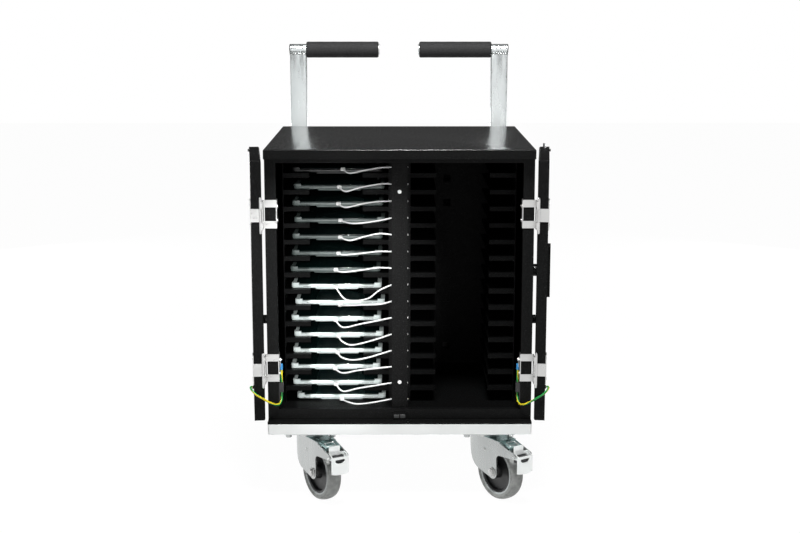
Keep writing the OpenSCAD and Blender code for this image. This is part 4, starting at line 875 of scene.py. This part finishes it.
def make_fork(name, braked, matrix):
    body = name + "_caster"

    def sheet(bm):
        for side in (-1, 1):
            fork_leg(bm, LEG_BACK + (LEG_BEAK if braked else LEG_BLUNT), side)
        rings = []
        front = BEAK_X if braked else BLUNT_CROWN_X
        for x in [CROWN_BACK, -41, -37, -32, -26, -19, -12, 0, 25, 50, front]:
            half = 22.4 - tuck(x) - (1.2 if x == CROWN_BACK else 0)
            rings.append([(x, y, z) for y, z in
                          ((-half, CROWN_LOW), (half, CROWN_LOW), (half, CROWN_TOP - 0.8),
                           (half - 0.8, CROWN_TOP), (-half + 0.8, CROWN_TOP),
                           (-half, CROWN_TOP - 0.8))])
        loft(bm, rings)
        for face in bm.faces:
            # Up-facing crown faces take the teal zinc as a painted reflection
            face.material_index = int(face.calc_center_median().z > CROWN_TOP - 0.5)
    shaped(name + "_fork_look", sheet, [ZINC, TEAL_REFLECTION_ZINC], body, [name + "_fork"], matrix,
           0.7, 40)

    def hardware(bm):
        spin(bm, [(133.2, 26), (137.4, 26), (138.0, 25.4), (138.6, 25.6), (139.6, 26),
                  (140.3, 25.4), (140.6, 24)], sides=56)
        for side in (-1, 1):
            turn = along_y(TRAIL, side * LEG_OUT, WHEEL_R)
            for r, h in ((10.4, 1.3), (5.0, 7.0)):
                spin(bm, [(-0.6, r), (side * (h - 0.4), r), (side * h, r - 0.4)], turn, 32)
            corners = [Vector((x, y, 0)) for x, y in circle(AXLE_NUT_R, 6, math.radians(12))]
            loft(bm, [[turn @ (c * f + Vector((0, 0, side * at))) for c in corners]
                      for at, f in ((1.0, 1), (5.2, 1), (5.8, 0.93))])
    shaped(name + "_hardware", hardware, STEEL, body, matrix=matrix)

    def rivets(bm):
        for side in (-1, 1):
            spin(bm, [(-0.4 * side, 3.4), (side * 0.4, 3.3), (side * 0.9, 2.8), (side * 1.2, 1.6)],
                 along_y(18, side * LEG_OUT, WHEEL_R + 44), 20)
    shaped(name + "_rivets", rivets, GLINT_RIVET, body, matrix=matrix, smooth=50)

    if braked:
        make_beak(name, matrix)


def make_beak(name, matrix):
    """The sloping cover over a braked fork's beak, with its embossed frame."""
    top, end = Vector((BEAK_X, 0, CROWN_LOW)), Vector((98.2, 0, 124.9))
    slope = (end - top).normalized()
    up = Vector((-slope.z, 0, slope.x))

    def cover(bm):
        rings = []
        for along, drop in ((-3, 0), (3, 0), (16, 0), (27, 0), (29.2, -0.8), (30.3, -2.6)):
            base = top + slope * along + up * drop
            rings.append([tuple(base + Vector((0, y, 0)) + up * h) for y, h in
                          ((-19.4, 0.2), (19.4, 0.2), (19.4, 2.4), (18.6, 3.0), (-18.6, 3.0),
                           (-19.4, 2.4))])
        loft(bm, rings)
    # The beak cover takes the same painted teal reflection
    shaped(name + "_beak_cover", cover, TEAL_REFLECTION_ZINC, name + "_caster", matrix=matrix)

    def emboss(bm):
        turn = (Matrix.Translation(top + slope * 15 + up * 3.0)
                @ Matrix.Rotation(math.atan2(-slope.z, slope.x), 4, "Y"))
        outer = ring_rect((-8, 8), (-12, 12), 2.4)
        inner = ring_rect((-5.4, 5.4), (-9.4, 9.4), 1.4)
        middle = ring_rect((-6.7, 6.7), (-10.7, 10.7), 1.9)
        rings = [[turn @ Vector((a, b, h)) for a, b in ring] for ring, h in
                 ((outer, -0.2), (middle, 1.0), (inner, -0.2), (middle, -0.8))]
        loft(bm, rings, True)
    shaped(name + "_emboss", emboss, STEEL, name + "_caster", matrix=matrix,
           smooth=60)


def make_pedal(name, matrix):
    body, nodes = name + "_brake_pedal", [name + "_pedal"]
    px, pz = 1.824 * WHEEL_R, WHEEL_R + 0.7 * (CROWN_LOW - WHEEL_R)
    half_w, slot_w, flap_x = 20.4, 11.6, 12.6

    def plate(bm):
        across = [-half_w, -15.6, -slot_w, -8, -4, 0, 4, 8, slot_w, 15.6, half_w]
        down = [3.4, 1.2, -1.8, -9.4, -14, -20, -26, -31, -34, -35.4]
        verts = {}
        for i, y in enumerate(across):
            for k, z in enumerate(down):
                low = z
                if abs(y) <= slot_w and k == 3:
                    # The curved lower edge of the slot
                    low += 3.6 * (y / slot_w) ** 4 - 1.2 * (1 - (y / slot_w) ** 2)
                if k > 7:
                    low += 3.0 * (y / half_w) ** 2
                out = 0.4 * math.sin(max(0.0, -z) / 36 * math.pi) - 0.5
                verts[i, k] = bm.verts.new((px + flap_x + out, y, pz + min(low, 3.4)))
        for i in range(len(across) - 1):
            for k in range(len(down) - 1):
                if not (k == 2 and 2 <= i < 8):
                    bm.faces.new((verts[i, k], verts[i, k + 1], verts[i + 1, k + 1],
                                  verts[i + 1, k]))
    flap = shaped(name + "_pedal_plate", plate, BRIGHT_ZINC, body, nodes, matrix,
                  smooth=50)
    mod = flap.modifiers.new("sheet", "SOLIDIFY")
    mod.thickness, mod.offset = 2.4 * MM, 0
    break_edges(flap, 0.6, angle=30)

    def rest(bm):
        cheek = ((-11.3, -3.8), (flap_x, -3.8), (flap_x, 3.8), (4, 9.8), (-4, 9.8), (-11.3, 3.8))
        for side in (-1, 1):
            loft(bm, [[(px + x, side * y, pz + z) for x, z in cheek] for y in (17.2, 19.1)])
            spin(bm, [(side * 21.5, 2.5), (side * 23.2, 2.4), (side * 23.7, 1.4)],
                 along_y(px, 0, pz), 20)
        spin(bm, [(-21.6, 2.5), (21.6, 2.5)], along_y(px, 0, pz), 20)
        soft_box(bm, (px - 4, px - 2), (-19.1, 19.1), (pz + 3.8, pz + 10.2), 0.3, 0.4, steps=1,
                 corner_steps=2)
        soft_box(bm, (-18, 8), (pz + 9.6, pz + 24), (px - 4, px - 2), 0.6, 1.6, "x", 2, 3)
    shaped(name + "_pedal_tab", rest, BRIGHT_ZINC, body, nodes, matrix, 0.35)

    def block(bm):
        soft_box(bm, (-15.6, 15.6), (pz - 12.5, pz + 2.5), (px - 6, px + 7.5), 1.2, 2, "x", 2, 3)
    shaped(name + "_brake_block", block, BLACK, body, matrix=matrix)


def make_wheel(name, nodes_tyre, nodes_hub, matrix):
    body = name + "_wheel_body"
    turn = matrix @ along_y(TRAIL, 0, WHEEL_R)
    # Stations of half a section, from the rim to the middle of the tread
    side = [(13.0, 47), (13.5, 48.2), (14.0, 50.4), (15.2, 54), (15.75, 56.6), (15.6, 57.6),
            (15.0, 58.4), (13.6, 59.6), (11.2, 60.75), (8.4, 61.6), (5.2, 62.15), (0, WHEEL_R)]
    section = side + [(-t, r) for t, r in side[-2::-1]]
    shaped(name + "_tyre_look", lambda bm: spin(bm, section, turn, 96, True), TREAD, body,
           nodes_tyre)
    rim = [(13.0, 47), (13.0, 45.8), (12.4, 44.0), (11.6, 42.2), (6.2, 40.6), (5.0, 38),
           (4.6, 26), (5.2, 20), (6.5, 16), (14.5, 14.6), (18.6, 13.4), (19.1, 12.6), (19.1, 5.1)]
    hub = rim + [(-t, r) for t, r in reversed(rim)]
    shaped(name + "_hub_look", lambda bm: spin(bm, hub, turn, 64, True), BLACK, body, nodes_hub)

    def band(bm):
        for s in (-1, 1):
            spin(bm, [(s * 12.6, 46.9), (s * 13.8, 47.4), (s * 14.2, 48.8), (s * 14.3, 50.3),
                      (s * 13.9, 51.4), (s * 12.8, 51.8)], turn, 72, True)
    shaped(name + "_side_ring", band, RING, body)


def make_casters():
    for name, (x, y, angle) in CASTERS.items():
        matrix = Matrix.Translation((x, y, 0)) @ Matrix.Rotation(math.radians(angle), 4, "Z")
        braked = name.startswith("front")
        make_fork(name, braked, matrix)
        if braked:
            make_pedal(name, matrix)
            make_wheel(name, [name + "_tyre"], [name + "_hub"], matrix)
        else:
            make_wheel(name, [name + "_wheel"], [name + "_wheel"], matrix)


make_cables()
make_earth_wires()
make_cabinet()
make_doors()
make_handles()
make_tablets()
make_lugs()
make_casters()
